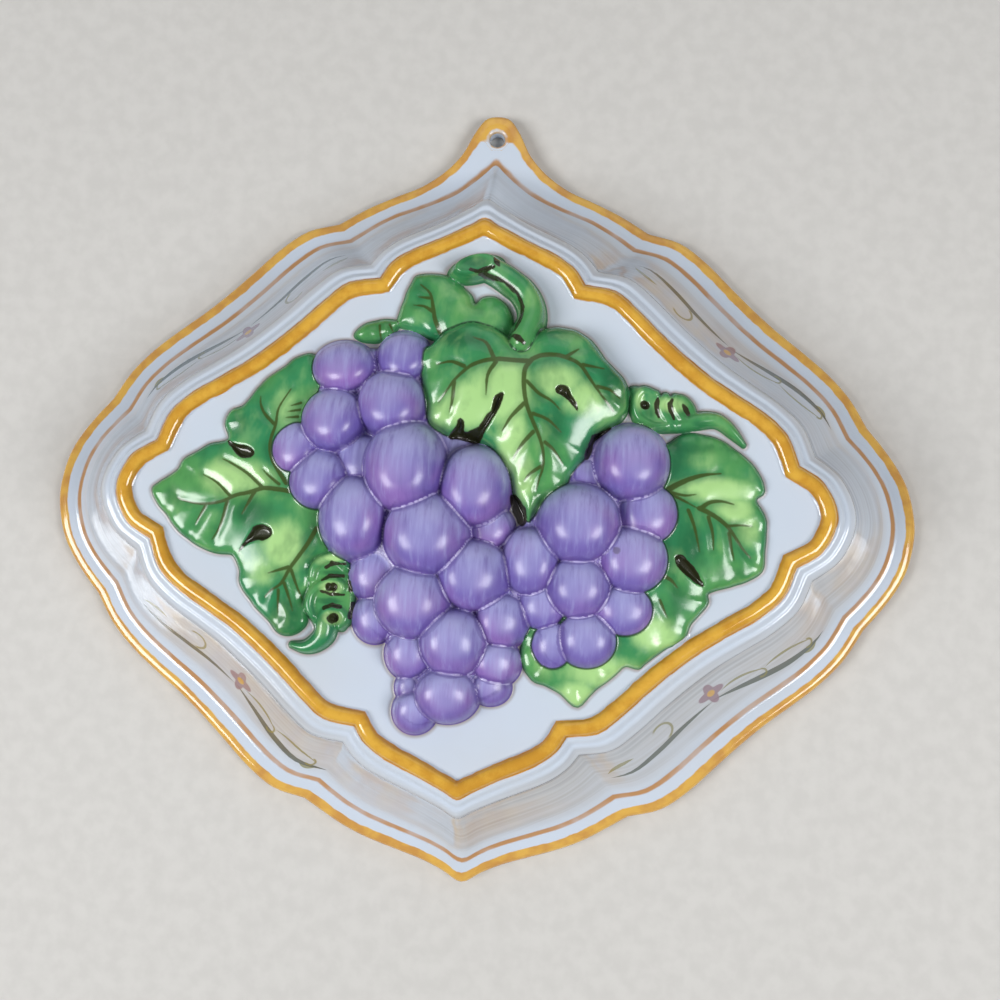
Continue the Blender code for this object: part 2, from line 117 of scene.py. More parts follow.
# How each stretch is divided, how much closer the points lie towards the lug's tip,
# how far a corner may reach when an outline is moved inwards, and how finely the
# outlines and the rings of the mesh are drawn
STRETCH_DIVISIONS = (8, 9, 5)
TIP_CROWDING = 1.3
MITRE_LIMIT = 0.8
OUTLINE_STEPS = 12
RING_FINE = 4

# The long sides, by their number round the outline: which way the sprig runs on
# each, and how far it lies from the middle
LONG_SIDES = {0: (1, 0.9), 2: (-1, -0.8), 4: (-1, 4.6), 6: (-1, 0.0)}
LONG_SIDE_LENGTH = 62.0

# How finely each part of the profile is drawn, in rows
BAND_ROWS = 12
SKIRT_FINE = 3
FLANGE_ROWS = 3
ROLL_ROWS = 8
UNDER_ROWS = 3
INNER_FINE = 2

# Grapes: place across and up from the heart of the panel, half width, half
# height and how far the grape's middle stands above the panel
LEFT_BUNCH = (
    (-30.1, 29.2, 7.1, 6.0, 1.0),
    (-16.5, 32.0, 5.9, 5.9, 1.0),
    (-31.5, 17.0, 6.8, 6.8, 3.0),
    (-18.5, 21.0, 7.3, 7.4, 3.4),
    (-40.0, 10.6, 5.7, 6.2, 0.2),
    (-34.0, 3.5, 6.6, 6.6, 2.0),
    (-25.0, 8.5, 6.0, 6.0, 0.4),
    (-14.5, 7.0, 8.3, 9.7, 6.0),
    (1.0, 3.5, 7.3, 8.5, 3.8),
    (-25.5, -4.5, 7.3, 8.7, 4.0),
    (-9.0, -7.6, 8.8, 8.7, 5.4),
    (5.0, -5.5, 5.0, 5.0, 0.4),
    (-16.5, -2.5, 4.6, 4.6, 2.0),
    (-5.5, 0.0, 4.4, 4.4, 2.0),
    (-20.8, -17.2, 5.3, 5.6, 0.6),
    (-11.5, -22.4, 7.8, 7.7, 4.0),
    (1.8, -16.0, 7.7, 7.5, 3.2),
    (-20.0, -26.6, 4.8, 5.3, 0.4),
    (-2.0, -30.9, 7.0, 7.0, 3.6),
    (8.5, -25.7, 5.8, 5.8, 1.4),
    (-11.8, -34.0, 5.1, 5.4, 1.0),
    (7.6, -35.1, 5.1, 4.9, 0.8),
    (-3.0, -42.4, 6.6, 5.8, 2.2),
    (-11.4, -41.3, 3.2, 3.5, 0.0),
    (-10.0, -46.5, 4.7, 4.7, 0.4),
    (6.4, -40.4, 4.5, 3.9, 0.0),
)
RIGHT_BUNCH = (
    (34.9, 10.1, 7.7, 7.9, 4.4),
    (23.8, -3.8, 8.4, 8.3, 5.0),
    (39.0, -1.0, 6.6, 6.6, 1.0),
    (35.9, -11.0, 7.4, 7.3, 2.6),
    (13.5, -12.5, 6.0, 7.2, 2.6),
    (24.2, -17.7, 6.7, 6.4, 3.6),
    (29.0, -11.5, 4.2, 4.2, 2.0),
    (25.5, 7.5, 4.2, 4.2, 0.0),
    (16.5, -22.0, 5.3, 5.2, 1.0),
    (34.6, -22.0, 6.5, 5.9, 1.0),
    (26.5, -29.0, 6.5, 6.0, 1.6),
    (19.3, -30.6, 4.8, 5.4, 0.4),
)
GRAPE_FLATNESS = 0.9
GRAPE_FULLNESS = 0.92
GRAPE_SQUARENESS = 2.5
GRAPE_WALL_SLOPE = 4.5
TALLEST = 13.95

# The bunches lean down towards their outlines: the spine that each leans from,
# the height across which it turns over, and how steep the lean becomes
BUNCH_SPINES = (-11.0, 27.0)
LEAN_ACROSS = 0.22
LEAN_REACH = 20.0
LEAN_MIDDLE = -15.0
LEAN_UP = 0.0065

# The low body that joins the grapes of each bunch, in pixels
BUNCH_OUTLINES = (
    ((315, 364), (328, 349), (352, 343), (375, 347), (390, 338), (408, 336), (430, 345),
     (450, 400), (500, 500), (520, 560), (522, 610), (517, 641), (513, 652), (507, 678),
     (500, 689), (490, 696), (477, 702), (458, 714), (438, 720), (420, 724), (408, 719),
     (403, 710), (403, 700), (402, 678), (399, 663), (391, 648), (378, 633), (367, 620),
     (361, 602), (357, 565), (336, 544), (327, 532), (322, 509), (296, 484), (287, 468),
     (285, 450), (292, 440), (306, 430), (308, 408), (318, 384)),
    ((599, 436), (632, 428), (653, 439), (665, 460), (666, 486), (675, 509), (671, 534),
     (664, 551), (662, 571), (652, 587), (649, 610), (640, 625), (621, 633), (610, 651),
     (589, 661), (563, 666), (546, 655), (540, 634), (527, 616), (505, 590), (510, 540),
     (560, 480), (580, 450)),
)
BUNCH_BODY = 2.6
BUNCH_ROUND = 1.6

# Under each bunch the casting rises in a mound that is hollow from below
MOUNDS = (
    (-11.0, -5.0, 15.0, 27.0, 5.5),
    (27.0, -6.0, 13.5, 18.0, 5.0),
)

# Leaves: the outline in pixels of the photograph, the highest point in
# millimetres, and the heights of that point and of the edge above the panel
LEAVES = {
    "crown": (
        ((432, 341), (444, 329), (458, 323), (473, 320), (489, 324), (502, 331), (511, 338),
         (517, 345), (524, 347), (532, 335), (542, 328), (557, 325), (573, 327), (586, 334),
         (595, 342), (605, 357), (620, 372), (627, 384), (629, 397), (626, 411), (615, 423),
         (598, 433), (590, 447), (586, 457), (573, 472), (568, 483), (560, 494), (545, 502),
         (533, 517), (527, 521), (519, 502), (513, 491), (510, 476), (505, 466), (494, 450),
         (483, 441), (466, 436), (449, 436), (438, 431), (428, 422), (425, 408), (422, 388),
         (420, 372), (417, 359), (422, 348)),
        (10.0, 25.0), 8.4, 4.6),
    "left": (
        ((310, 353), (293, 358), (282, 367), (262, 381), (244, 403), (230, 410), (224, 423),
         (227, 439), (207, 444), (196, 451), (182, 459), (174, 471), (157, 482), (150, 488),
         (155, 501), (165, 514), (176, 529), (192, 542), (213, 552), (231, 554), (238, 570),
         (239, 584), (252, 604), (266, 619), (274, 630), (284, 635), (297, 632), (305, 622),
         (304, 608), (303, 596), (308, 583), (309, 568), (315, 557), (330, 548), (342, 530),
         (340, 500), (322, 440), (322, 390), (320, 362)),
        (-38.0, 1.0), 3.6, 1.8),
    "right": (
        ((650, 450), (666, 445), (683, 435), (700, 434), (723, 441), (744, 456), (759, 472),
         (765, 491), (757, 500), (767, 521), (765, 554), (763, 571), (742, 583), (710, 592),
         (708, 604), (692, 623), (683, 640), (664, 650), (646, 663), (639, 669), (625, 666),
         (612, 678), (595, 690), (578, 707), (562, 695), (547, 686), (532, 680), (522, 663),
         (522, 646), (530, 627), (560, 600), (620, 560), (655, 510)),
        (36.5, -14.5), 3.8, 1.8),
    "back": (
        ((397, 323), (400, 310), (406, 293), (412, 281), (417, 274), (430, 273), (447, 275),
         (457, 281), (464, 288), (471, 295), (475, 303), (483, 297), (493, 296), (503, 301),
         (509, 310), (512, 320), (510, 336), (480, 345), (440, 340), (419, 333), (406, 328)),
        (-6.5, 40.0), 3.8, 1.6),
    "bud": (
        ((354, 334), (361, 326), (372, 321), (388, 319), (399, 322), (396, 331), (382, 341),
         (368, 342), (358, 339)),
        (-20.5, 37.5), 2.6, 1.0),
}
LEAF_OUTLINE_FINE = 4
LEAF_ROUND = 2.0
LEAF_ROUND_DROP = 0.45
LEAF_WALL_SLOPE = 5.0
RIPPLE_RISE = 0.2
RIPPLE_LENGTH = 7.4
RIPPLE_REACH = 3.6
SMALL_RIPPLE = (0.5, 1.7, 1.3)
BLADE_SPREAD = 0.5
BLADE_LEAST = 0.01
BLADE_DROP = 0.25

# Painted veins, in pixels of the photograph: the widest half width of the brush
# line in millimetres, and the points from its thick end to its thin end
VEIN_HEIGHTS = {"crown": 7.0, "left": 3.2, "right": 3.4, "back": 3.0}
VEINS = {
    "crown": (
        (0.50, ((529, 361), (513, 360), (498, 359), (483, 361), (469, 367), (455, 379),
                (447, 389), (438, 401))),
        (0.40, ((494, 358), (486, 342), (473, 336))),
        (0.40, ((464, 366), (451, 361), (436, 363))),
        (0.38, ((454, 382), (452, 400), (449, 411))),
        (0.42, ((496, 362), (488, 375), (486, 395))),
        (0.45, ((532, 359), (525, 370), (524, 388), (527, 406), (533, 422), (539, 436),
                (543, 451), (543, 466), (539, 479), (536, 489))),
        (0.36, ((527, 382), (539, 394), (551, 401), (560, 410))),
        (0.34, ((533, 414), (548, 420), (561, 432))),
        (0.32, ((545, 442), (554, 450), (563, 463))),
        (0.42, ((524, 404), (511, 417), (502, 431))),
        (0.40, ((533, 432), (521, 445), (513, 458))),
        (0.34, ((541, 466), (530, 473), (524, 480))),
        (0.46, ((532, 359), (542, 355), (557, 355), (568, 358), (580, 364), (590, 378),
                (599, 391), (607, 401), (614, 410))),
        (0.34, ((567, 356), (579, 348))),
        (0.34, ((583, 364), (605, 367))),
        (0.36, ((598, 386), (611, 389), (621, 397))),
    ),
    "left": (
        (0.45, ((289, 491), (277, 489), (263, 488), (249, 492), (235, 495), (224, 500),
                (210, 503), (196, 503), (182, 500), (175, 497))),
        (0.34, ((262, 487), (247, 473), (231, 463), (221, 458))),
        (0.32, ((230, 496), (216, 482), (202, 474))),
        (0.30, ((279, 484), (269, 476), (262, 469))),
        (0.36, ((254, 492), (241, 514))),
        (0.34, ((227, 500), (219, 525), (210, 539))),
        (0.30, ((204, 506), (193, 524))),
        (0.42, ((286, 483), (272, 459), (270, 441), (275, 424), (278, 407), (290, 388))),
        (0.34, ((273, 423), (263, 412), (259, 402), (259, 395))),
        (0.25, ((300, 402), (290, 405))),
        (0.25, ((299, 409), (287, 411))),
        (0.25, ((297, 416), (285, 417))),
        (0.42, ((316, 528), (307, 543), (290, 566), (280, 583), (270, 590), (263, 597))),
        (0.34, ((287, 567), (267, 573))),
        (0.30, ((277, 590), (276, 614))),
        (0.30, ((283, 583), (291, 611))),
        (0.30, ((290, 570), (300, 601))),
    ),
    "right": (
        (0.55, ((669, 489), (680, 483), (695, 477), (709, 474), (722, 473))),
        (0.30, ((671, 492), (686, 495), (697, 494))),
        (0.30, ((672, 494), (684, 500), (698, 508))),
        (0.42, ((701, 508), (711, 502), (723, 501), (735, 504))),
        (0.45, ((700, 508), (714, 515), (727, 525), (736, 537), (744, 549), (752, 558))),
        (0.26, ((728, 526), (741, 525), (754, 526))),
        (0.36, ((689, 510), (695, 527), (700, 552))),
        (0.36, ((709, 517), (713, 533), (714, 550))),
        (0.34, ((730, 533), (732, 547), (735, 560))),
        (0.40, ((662, 575), (671, 580), (678, 588))),
        (0.26, ((660, 600), (665, 612), (668, 618))),
    ),
    "back": (
        (0.46, ((440, 332), (435, 319), (433, 306), (430, 293), (420, 283))),
        (0.30, ((430, 298), (418, 296))),
        (0.34, ((432, 311), (424, 306), (413, 304))),
        (0.26, ((379, 324), (380, 339))),
        (0.24, ((389, 323), (392, 330))),
    ),
}
VEIN_BREADTH = 1.15
VEIN_TAPER = 0.75
VEIN_TAPER_CURVE = 1.5
VEIN_GROOVE = 0.27
VEIN_GROOVE_WIDTH = 1.0
PILLOW_RISE = 0.3
PILLOW_REACH = 3.0

# Dark brown paint in the gaps and hollows, in pixels: the height above the panel,
# the depth of the hollow, and the outline
DARK_SHAPES = (
    (5.5, 2.0, ((448, 436), (451, 438), (456, 437), (470, 440), (478, 440), (482, 436),
                (486, 430), (494, 418), (500, 408), (503, 400), (504, 395), (500, 395),
                (495, 400), (492, 411), (488, 416), (479, 427), (471, 430), (464, 431),
                (464, 423), (461, 419), (458, 421), (456, 427), (451, 432))),
    (7.0, 1.8, ((556, 389), (561, 386), (568, 388), (571, 396), (575, 402), (578, 411),
                (570, 402), (563, 396), (557, 393))),
    (4.5, 2.4, ((510, 495), (515, 495), (523, 505), (526, 512), (525, 523), (520, 525),
                (515, 517), (512, 508))),
    (1.8, 1.2, ((228, 441), (239, 445), (247, 446), (254, 450), (255, 455), (250, 458),
                (242, 457), (236, 452))),
    (2.2, 1.3, ((238, 552), (247, 540), (255, 528), (263, 525), (271, 528), (273, 535),
                (266, 540), (258, 540), (247, 544))),
    (2.5, 1.3, ((675, 557), (682, 556), (691, 565), (699, 576), (703, 586), (696, 583),
                (686, 575), (677, 566))),
)
PIT_EDGE = 0.55

# Round dark hollows in the tendrils: place in pixels, height, radius and depth
ROUND_HOLES = (
    (645, 405, 1.6, 0.95, 1.3),
    (329, 587, 2.2, 0.85, 1.2),
    (333, 587, 2.2, 0.85, 1.2),
    (333, 618, 2.2, 1.05, 1.3),
)

# Dark brush lines, in pixels: half widths in millimetres, height above the panel,
# and the points of the line
DARK_LINES = (
    ((0.2, 0.45, 0.5), 5.0, ((611, 427), (594, 437), (587, 456))),
    ((0.3, 0.55, 0.35), 4.0, ((513, 338), (519, 342), (524, 346))),
    ((0.25, 0.32, 0.30, 0.26), 1.0, ((472, 275), (488, 279), (505, 286), (518, 298))),
    ((0.26, 0.32, 0.34, 0.35), 1.0, ((518, 298), (523, 312), (521, 324), (515, 335))),
    ((0.15, 0.4, 0.2), 4.8, ((476, 272), (486, 269), (494, 267))),
    ((0.3, 0.5, 0.2), 4.6, ((495, 259), (497, 262), (499, 266))),
    ((0.30, 0.38, 0.15), 3.0, ((325, 567), (331, 563), (345, 564))),
    ((0.15, 0.38, 0.30), 3.0, ((321, 580), (329, 576), (342, 576))),
    ((0.12, 0.28, 0.15), 3.0, ((320, 591), (329, 594), (343, 595))),
    ((0.30, 0.40, 0.20), 3.0, ((323, 608), (331, 605), (340, 607))),
    ((0.35, 0.35), 1.6, ((350, 582), (351, 590))),
    ((0.30, 0.42, 0.30), 1.6, ((352, 603), (351, 611), (350, 618))),
    ((0.20, 0.42, 0.42, 0.2), 1.8, ((658, 398), (657, 404), (657, 411), (659, 417))),
    ((0.25, 0.42, 0.42, 0.15), 1.8, ((672, 400), (670, 404), (671, 411), (674, 419))),
    ((0.25, 0.5, 0.4), 1.8, ((683, 405), (686, 410), (688, 414))),
)

# Where the leaf paint is pale yellow-green, in pixels: place, height above the
# panel, half width and half height in millimetres, and strength
PALE_PATCHES = (
    (500, 392, 7.0, 8.0, 7.5, 1.0),
    (470, 405, 7.0, 7.0, 6.0, 0.95),
    (445, 412, 6.0, 4.0, 5.0, 0.6),
    (512, 440, 6.0, 4.0, 9.0, 0.85),
    (524, 478, 5.0, 2.8, 6.5, 0.7),
    (556, 382, 7.0, 6.0, 4.5, 0.85),
    (586, 400, 6.0, 6.0, 4.6, 0.75),
    (602, 412, 6.0, 3.5, 2.5, 0.35),
    (235, 478, 3.0, 9.5, 4.8, 0.85),
    (285, 405, 3.0, 3.5, 6.0, 0.5),
    (282, 545, 3.0, 5.5, 6.5, 0.9),
    (262, 570, 3.0, 4.5, 5.0, 0.6),
    (205, 515, 3.0, 6.0, 2.5, 0.3),
    (455, 303, 3.0, 8.0, 5.5, 0.3),
    (490, 318, 3.0, 4.0, 4.0, 0.35),
    (715, 490, 3.0, 10.0, 3.2, 0.85),
    (700, 460, 3.0, 6.0, 3.0, 0.4),
    (750, 530, 3.0, 3.5, 5.0, 0.6),
    (735, 510, 3.0, 5.0, 3.0, 0.8),
    (655, 635, 3.0, 6.0, 4.0, 0.9),
    (600, 672, 3.0, 9.0, 4.5, 0.8),
    (575, 695, 3.0, 5.0, 3.5, 0.9),
    (545, 660, 3.0, 3.5, 6.0, 0.45),
    (528, 300, 3.5, 1.2, 5.0, 0.3),
    (640, 400, 3.0, 1.4, 3.0, 0.6),
    (672, 404, 3.0, 3.6, 2.0, 0.8),
    (320, 560, 3.0, 3.0, 1.6, 0.5),
    (331, 588, 2.4, 2.8, 1.6, 1.0),
    (333, 618, 2.4, 2.5, 1.7, 1.0),
    (334, 558, 2.4, 3.0, 1.0, 0.8),
    (322, 628, 3.0, 2.0, 3.0, 0.5),
)

# Where the leaf paint is deepest, in the same way; the patch inside the right tendril's ring is
# painted shade
DEEP_PATCHES = (
    (474, 261, 5.0, 3.8, 1.5, 1.0),
    (458, 338, 6.0, 7.0, 2.4, 0.8),
    (560, 334, 6.0, 7.0, 1.8, 0.8),
    (614, 386, 5.5, 3.4, 6.5, 1.0),
    (552, 428, 7.0, 3.6, 7.0, 0.7),
    (538, 398, 7.0, 2.8, 5.0, 0.6),
    (428, 368, 5.0, 2.0, 7.0, 0.5),
    (238, 425, 2.5, 3.2, 3.6, 0.7),
    (250, 512, 3.0, 7.5, 3.6, 0.8),
    (172, 495, 2.5, 3.6, 3.6, 0.7),
    (286, 618, 2.5, 4.6, 5.2, 1.0),
    (310, 548, 2.5, 3.0, 6.0, 0.7),
    (690, 448, 2.5, 7.0, 2.0, 0.6),
    (690, 545, 3.0, 3.6, 7.0, 0.8),
    (735, 575, 2.5, 5.0, 2.6, 0.7),
    (680, 600, 2.5, 4.0, 5.0, 0.6),
    # Painted shade inside the right tendril's ring
    (650, 412, 2.0, 1.6, 1.4, 0.9),
    (328, 601, 2.4, 3.4, 0.9, 1.0),
    (332, 573, 2.4, 3.0, 0.8, 1.0),
    (700, 424, 1.6, 3.0, 1.0, 0.7),
)
PATCH_REACH = 1.35

# A small grey speck under the glaze of one grape: place, height and radius
SPECK = (617, 550, 9.5, 0.85)

# The stem: its middle line in pixels with its height above the panel, its
# radius, and the flat oval where it was cut
STEM_LINE = (
    (489, 268, 2.2, 2.4), (499, 272, 2.5, 2.6), (511, 280, 2.8, 2.6), (522, 289, 2.9, 2.6),
    (530, 302, 3.1, 2.6), (532, 316, 3.6, 2.6), (527, 329, 4.4, 2.6), (521, 342, 5.2, 2.4),
)
CUT_END = (475, 263, 4.8, 4.5, 2.2, 4.9)
CUT_LIP = (0.4, 0.88, 0.13)
CUT_TILT = 0.22
CUT_TURN = 16.0

# Tendrils, in pixels: the outline of the low body of each, and the round bars
# that stand on it, each with the height of its middle and its points with radii
TENDRIL_BODIES = (
    ((629, 388), (638, 385), (651, 389), (660, 394), (676, 395), (687, 399), (694, 411),
     (700, 424), (689, 431), (671, 432), (656, 432), (643, 427), (634, 422), (631, 408)),
    ((309, 568), (308, 577), (308, 583), (304, 596), (304, 608), (308, 617), (313, 626),
     (318, 638), (329, 643), (336, 632), (345, 628), (350, 624), (353, 616), (354, 596),
     (351, 581), (347, 566), (342, 556), (332, 552), (321, 555), (313, 561)),
)
TENDRIL_LEVEL = 1.7
TENDRIL_ROUND = 1.1
TENDRIL_BARS = (
    (1.4, ((656, 394, 0.8), (644, 390, 0.9), (637, 396, 1.0), (635, 406, 1.0), (638, 416, 1.0),
           (645, 422, 1.0), (654, 426, 1.0), (666, 426, 0.8))),
    (1.4, ((666, 396, 0.7), (662, 403, 0.85), (662, 410, 0.9), (666, 418, 0.9), (673, 425, 0.7))),
    (1.4, ((676, 397, 0.7), (675, 404, 0.85), (677, 411, 0.9), (682, 418, 0.9), (689, 422, 0.7))),
    (1.1, ((676, 397, 0.6), (684, 399, 0.7), (691, 407, 0.75), (693, 415, 0.8))),
    (0.9, ((682, 425, 1.4), (697, 421, 1.8), (713, 420, 1.6), (723, 424, 1.4), (733, 433, 1.1),
           (744, 445, 0.4))),
    (1.9, ((347, 568, 0.8), (340, 560, 1.0), (331, 557, 1.1), (321, 561, 1.1), (314, 568, 1.0),
           (312, 577, 0.8))),
    (1.9, ((342, 584, 0.8), (335, 580, 0.8), (325, 582, 0.9), (316, 588, 1.0), (310, 597, 1.0),
           (309, 607, 1.0), (313, 616, 0.8))),
    (1.9, ((342, 584, 0.7), (343, 589, 0.7), (336, 592, 0.6))),
    (1.9, ((321, 616, 0.8), (325, 611, 0.8), (332, 609, 0.8), (341, 611, 0.8), (345, 618, 0.9),
           (340, 626, 0.9))),
    (1.3, ((326, 622, 2.2), (324, 634, 2.2), (315, 643, 1.8), (304, 647, 1.2), (291, 645, 0.5))),
)

# The surface of the relief: how finely its lines are smoothed
BODY_FINE = 3
VEIN_LINE_FINE = 4
STEM_FINE = 6
BAR_FINE = 5

# How far round a line the lattice is worked on, a length that stands for far away,
# and the least square of a straight piece's length
OUTLINE_MARGIN = 2.0
DARK_MARGIN = 6.0
VEIN_MARGIN = 9.0
BAR_MARGIN = 5.0
FAR = 50.0
TINY = 1e-12

# The glaze over the relief: how much it fills the creases, in three passes along the
# lattice, and its slow waves, each with a pace and a start
BLUR_WEIGHT = 0.22
BLUR_STEPS = ((2, 0), (0, 1), (0, 1))
GLAZE_WAVE = 0.05
GLAZE_WAVE_ACROSS = (0.21, 0.5)
GLAZE_WAVE_UP = (0.17, 1.0)
GLAZE_FLOOR = 0.05

# Where one part of the relief meets another: how high both must stand to have a
# border, the least slope between them, and how far below the panel the other part
# may lie where only one is painted
BORDER_FLOOR = 0.2
LEAST_SLOPE = 0.35
PAINT_MARGIN = 0.85

# The fine mesh of the panel: the finest spacing of its points, how far a point may
# lie off the surface before more are kept, how near a vein all of them are kept, and
# their clearance to the band
FINE_STEP = 0.3
FINEST_ERROR = 0.07
MIDDLE_ERROR = 0.05
VEIN_FINE = 0.42
EDGE_MARGIN = 0.45

# The ceiling's spacing of points, how near two points count as one, how far inside
# a hole a face's middle lies for it to be dropped, as a share of the hole's reach,
# and the digits to which a height is compared
CEILING_STEP = 2.4
WELD = 1e-6
HOLE_SHRINK = 0.98
LEVEL_DIGITS = 4

# What the paint is told at each point of the relief: the least value, the greatest,
# and the value of every point away from the relief
RELIEF_VALUES = {
    "grape": (-3.0, 3.0, -3.0),
    "green": (-3.0, 3.0, -3.0),
    "on_leaf": (-3.0, 3.0, -3.0),
    "crease": (0.0, 6.0, 6.0),
    "grape_up": (-1.3, 1.3, 0.0),
    "grape_out": (0.0, 1.3, 1.0),
    "vein": (-1.0, 6.0, 6.0),
    "dark": (-2.0, 6.0, 6.0),
    "border": (0.0, 3.0, 3.0),
    "fold": (0.0, 3.0, 3.0),
    "pale": (0.0, 1.0, 0.0),
    "deep": (0.0, 1.0, 0.0),
    "speck": (0.0, 3.0, 3.0),
    "foot": (-12.0, 2.0, -12.0),
}

# What it is told of the shell, and the value of every point away from it
RING_VALUES = {"edge": FAR, "band": FAR, "side": FAR, "long_side": 0.0, "climb": -FAR,
               "inside": 0.0}

# Colours as they look on a screen, from 0 to 255
WHITE = (198, 208, 221)
WARM_WHITE = (196, 199, 202)
# Painted shade and reflection on the skirt, pale and deep, and painted shade along its steps
SKIRT_PALE_SHADE = (192, 195, 200)
SKIRT_DEEP_SHADE = (164, 161, 158)
SKIRT_STEP_SHADE = (126, 132, 138)
OCHRE = (198, 144, 46)
# Deeper ochre as painted shade along the band's rounded edges
OCHRE_RIM_SHADE = (176, 112, 26)
OCHRE_PALE = (217, 168, 62)
GOLD = (196, 140, 52)
FINE_LINE = (184, 134, 80)
EMERALD = (48, 132, 84)
# Dark emerald paint, also used for painted shade at the greens' foot and inside the right tendril's
# ring
EMERALD_DARK_AND_SHADE = (22, 92, 54)
LEAF_GREEN = (84, 152, 84)
PALE_GREEN = (168, 212, 136)
OLIVE = (58, 74, 22)
DARK_BROWN = (38, 28, 14)
BORDER_GREEN = (20, 52, 34)
GRAPE = (113, 98, 172)
# Pale bluish paint of the grapes' tops and strokes, also used for the painted sheen in their
# middles
GRAPE_PALE_AND_SHEEN = (164, 166, 214)
GRAPE_PINK = (148, 108, 178)
# Deep purple of the brush strokes, also used for painted shade in the creases and at the grapes'
# foot
GRAPE_DEEP_AND_SHADE = (74, 48, 128)
# A painted highlight along the creases between grapes
CREASE_HIGHLIGHT = (192, 184, 226)
# A painted shadow on the panel round the relief's foot
FOOT_SHADOW_GREY = (140, 122, 112)
SPECK_GREY = (96, 88, 108)
SPRIG_TEAL = (66, 80, 74)
SPRIG_OLIVE = (128, 126, 74)
PETAL = (132, 98, 118)
PETAL_HEART = (206, 160, 60)
FLOOR_SHADE = (196, 194, 190)
FLOOR_PALE = (202, 200, 196)

# Noises of the paint: waves a metre, detail, and where they aren't even the stretch
# along each axis and the roughness
NOISES = {
    "cloud": (38.0, 3.0),
    "skirt drift": (22.0, 2.0),
    "skirt shade patch": (30.0, 2.0),
    "skirt step shade": (14.0, 0.0),
    "band edge": (260.0, 2.0),
    "band brush": (190.0, 4.0, (1.0, 1.0, 1.0), 0.65),
    "rim edge": (300.0, 2.0),
    "rim brush": (210.0, 4.0),
    "fine line": (120.0, 2.0),
    "leaf brush": (170.0, 4.0, (1.0, 0.45, 1.0), 0.6),
    "leaf patch": (60.0, 3.0),
    "leaf streak": (520.0, 3.0, (0.3, 0.16, 1.0), 0.55),
    "vein edge": (700.0, 2.0),
    "grape brush": (900.0, 4.0, (1.0, 0.1, 0.3), 0.6),
    "grape patch": (85.0, 2.0),
    "crease highlight": (80.0, 2.0),
    "speck edge": (900.0, 2.0),
    "dark edge": (600.0, 3.0),
    "worn glaze": (150.0, 3.0),
    "glaze wave": (95.0, 2.0),
    "grape ridges": (420.0, 3.0, (1.0, 0.14, 0.3), 0.5),
    "floor grain": (240.0, 3.0),
}

# Soft steps of the paint: the values where each starts and ends, and its strength
# before and after where that isn't 0 and 1
STEPS_OF_PAINT = {
    "cloud": (0.45, 0.75, 0.0, 0.35),
    "skirt shade streak": (0.3, 0.75),
    "skirt foot": (1.5, 6.0),
    "skirt top": (-4.0, -2.4, 1.0, 0.0),
    "skirt shade patch": (0.3, 0.7, 0.2, 0.65),
    "skirt step shade": (0.15, 0.7, 1.0, 0.0),
    "band inner edge": (3.55, 3.75, 1.0, 0.0),
    "band outer edge": (-0.35, -0.1),
    "gold brush": (0.35, 0.65),
    "band outer rim shade": (0.7, 0.0),
    "band inner rim shade": (3.0, 3.6),
    "rim inner edge": (2.6, 2.9, 1.0, 0.0),
    "rim outer edge": (-1.2, -0.8),
    "fine line": (0.45, 0.85, 1.0, 0.0),
    "fine line wear": (0.25, 0.6, 0.55, 0.95),
    "stroke edge": (-0.12, 0.16, 1.0, 0.0),
    "ring edge": (-0.12, 0.14, 0.85, 0.0),
    "ring gap": (0.0, 0.5, 1.0, 0.0),
    "petal edge": (-0.3, 0.2, 0.85, 0.0),
    "petal heart": (0.7, 1.1, 0.9, 0.0),
    "long side": (0.95, 1.0),
    # The painted shadow round the relief's foot
    "halo": (-6.0, -0.5, 0.0, 0.75),
    "relief edge": (-0.1, 0.12),
    "leaf edge": (-0.1, 0.1),
    "leaf patch": (0.35, 0.65),
    "leaf brush": (0.52, 0.78, 0.0, 0.4),
    # Painted shade and reflection on the flared skirt: grey in soft patches and streaks along it,
    # and thin lines of painted shade along its steps.
    "pale patch": (0.15, 0.8),
    "deep patch": (0.2, 0.9, 0.0, 0.7),
    "deep streak": (0.5, 0.3, 0.0, 0.35),
    "pale streak": (0.5, 0.7, 0.0, 0.25),
    "beside vein": (0.0, 1.4, 0.25, 0.0),
    "leaf foot shade": (1.5, 0.1, 0.0, 0.75),
    "vein edge": (-0.05, 0.26, 0.9, 0.0),
    "fold": (0.12, 0.5, 0.8, 0.0),
    "grape patch": (0.4, 0.7, 0.0, 0.65),
    "grape top": (-0.25, 0.75, 0.0, 0.85),
    "pale stroke": (0.5, 0.75, 0.0, 0.35),
    "deep stroke": (0.5, 0.25, 0.0, 0.3),
    "grape middle sheen": (0.75, 0.15, 0.0, 0.4),
    "crease shade": (0.1, 1.5, 0.6, 0.0),
    "crease deep shade": (0.06, 0.3, 0.6, 0.0),
    "crease highlight breaks": (0.4, 0.6, 0.25, 0.75),
    "crease highlight": (0.17, 0.34, 1.0, 0.0),
    "grape foot shade": (0.1, 1.6, 0.45, 0.0),
    "border": (0.1, 0.4, 0.85, 0.0),
    "dark edge": (0.0, 0.25, 0.95, 0.0),
    "worn glaze": (0.3, 0.8, 0.07, 0.12),
    "dull foot": (1.0, 2.4, 0.3, 0.0),
    "floor grain": (0.3, 0.7),
}

# The skirt's soft streaks of painted shade and reflection: how far they drift, waves a millimetre
# and detail
SKIRT_DRIFT = 9.0
SKIRT_STREAKS = (0.4, 2.0)

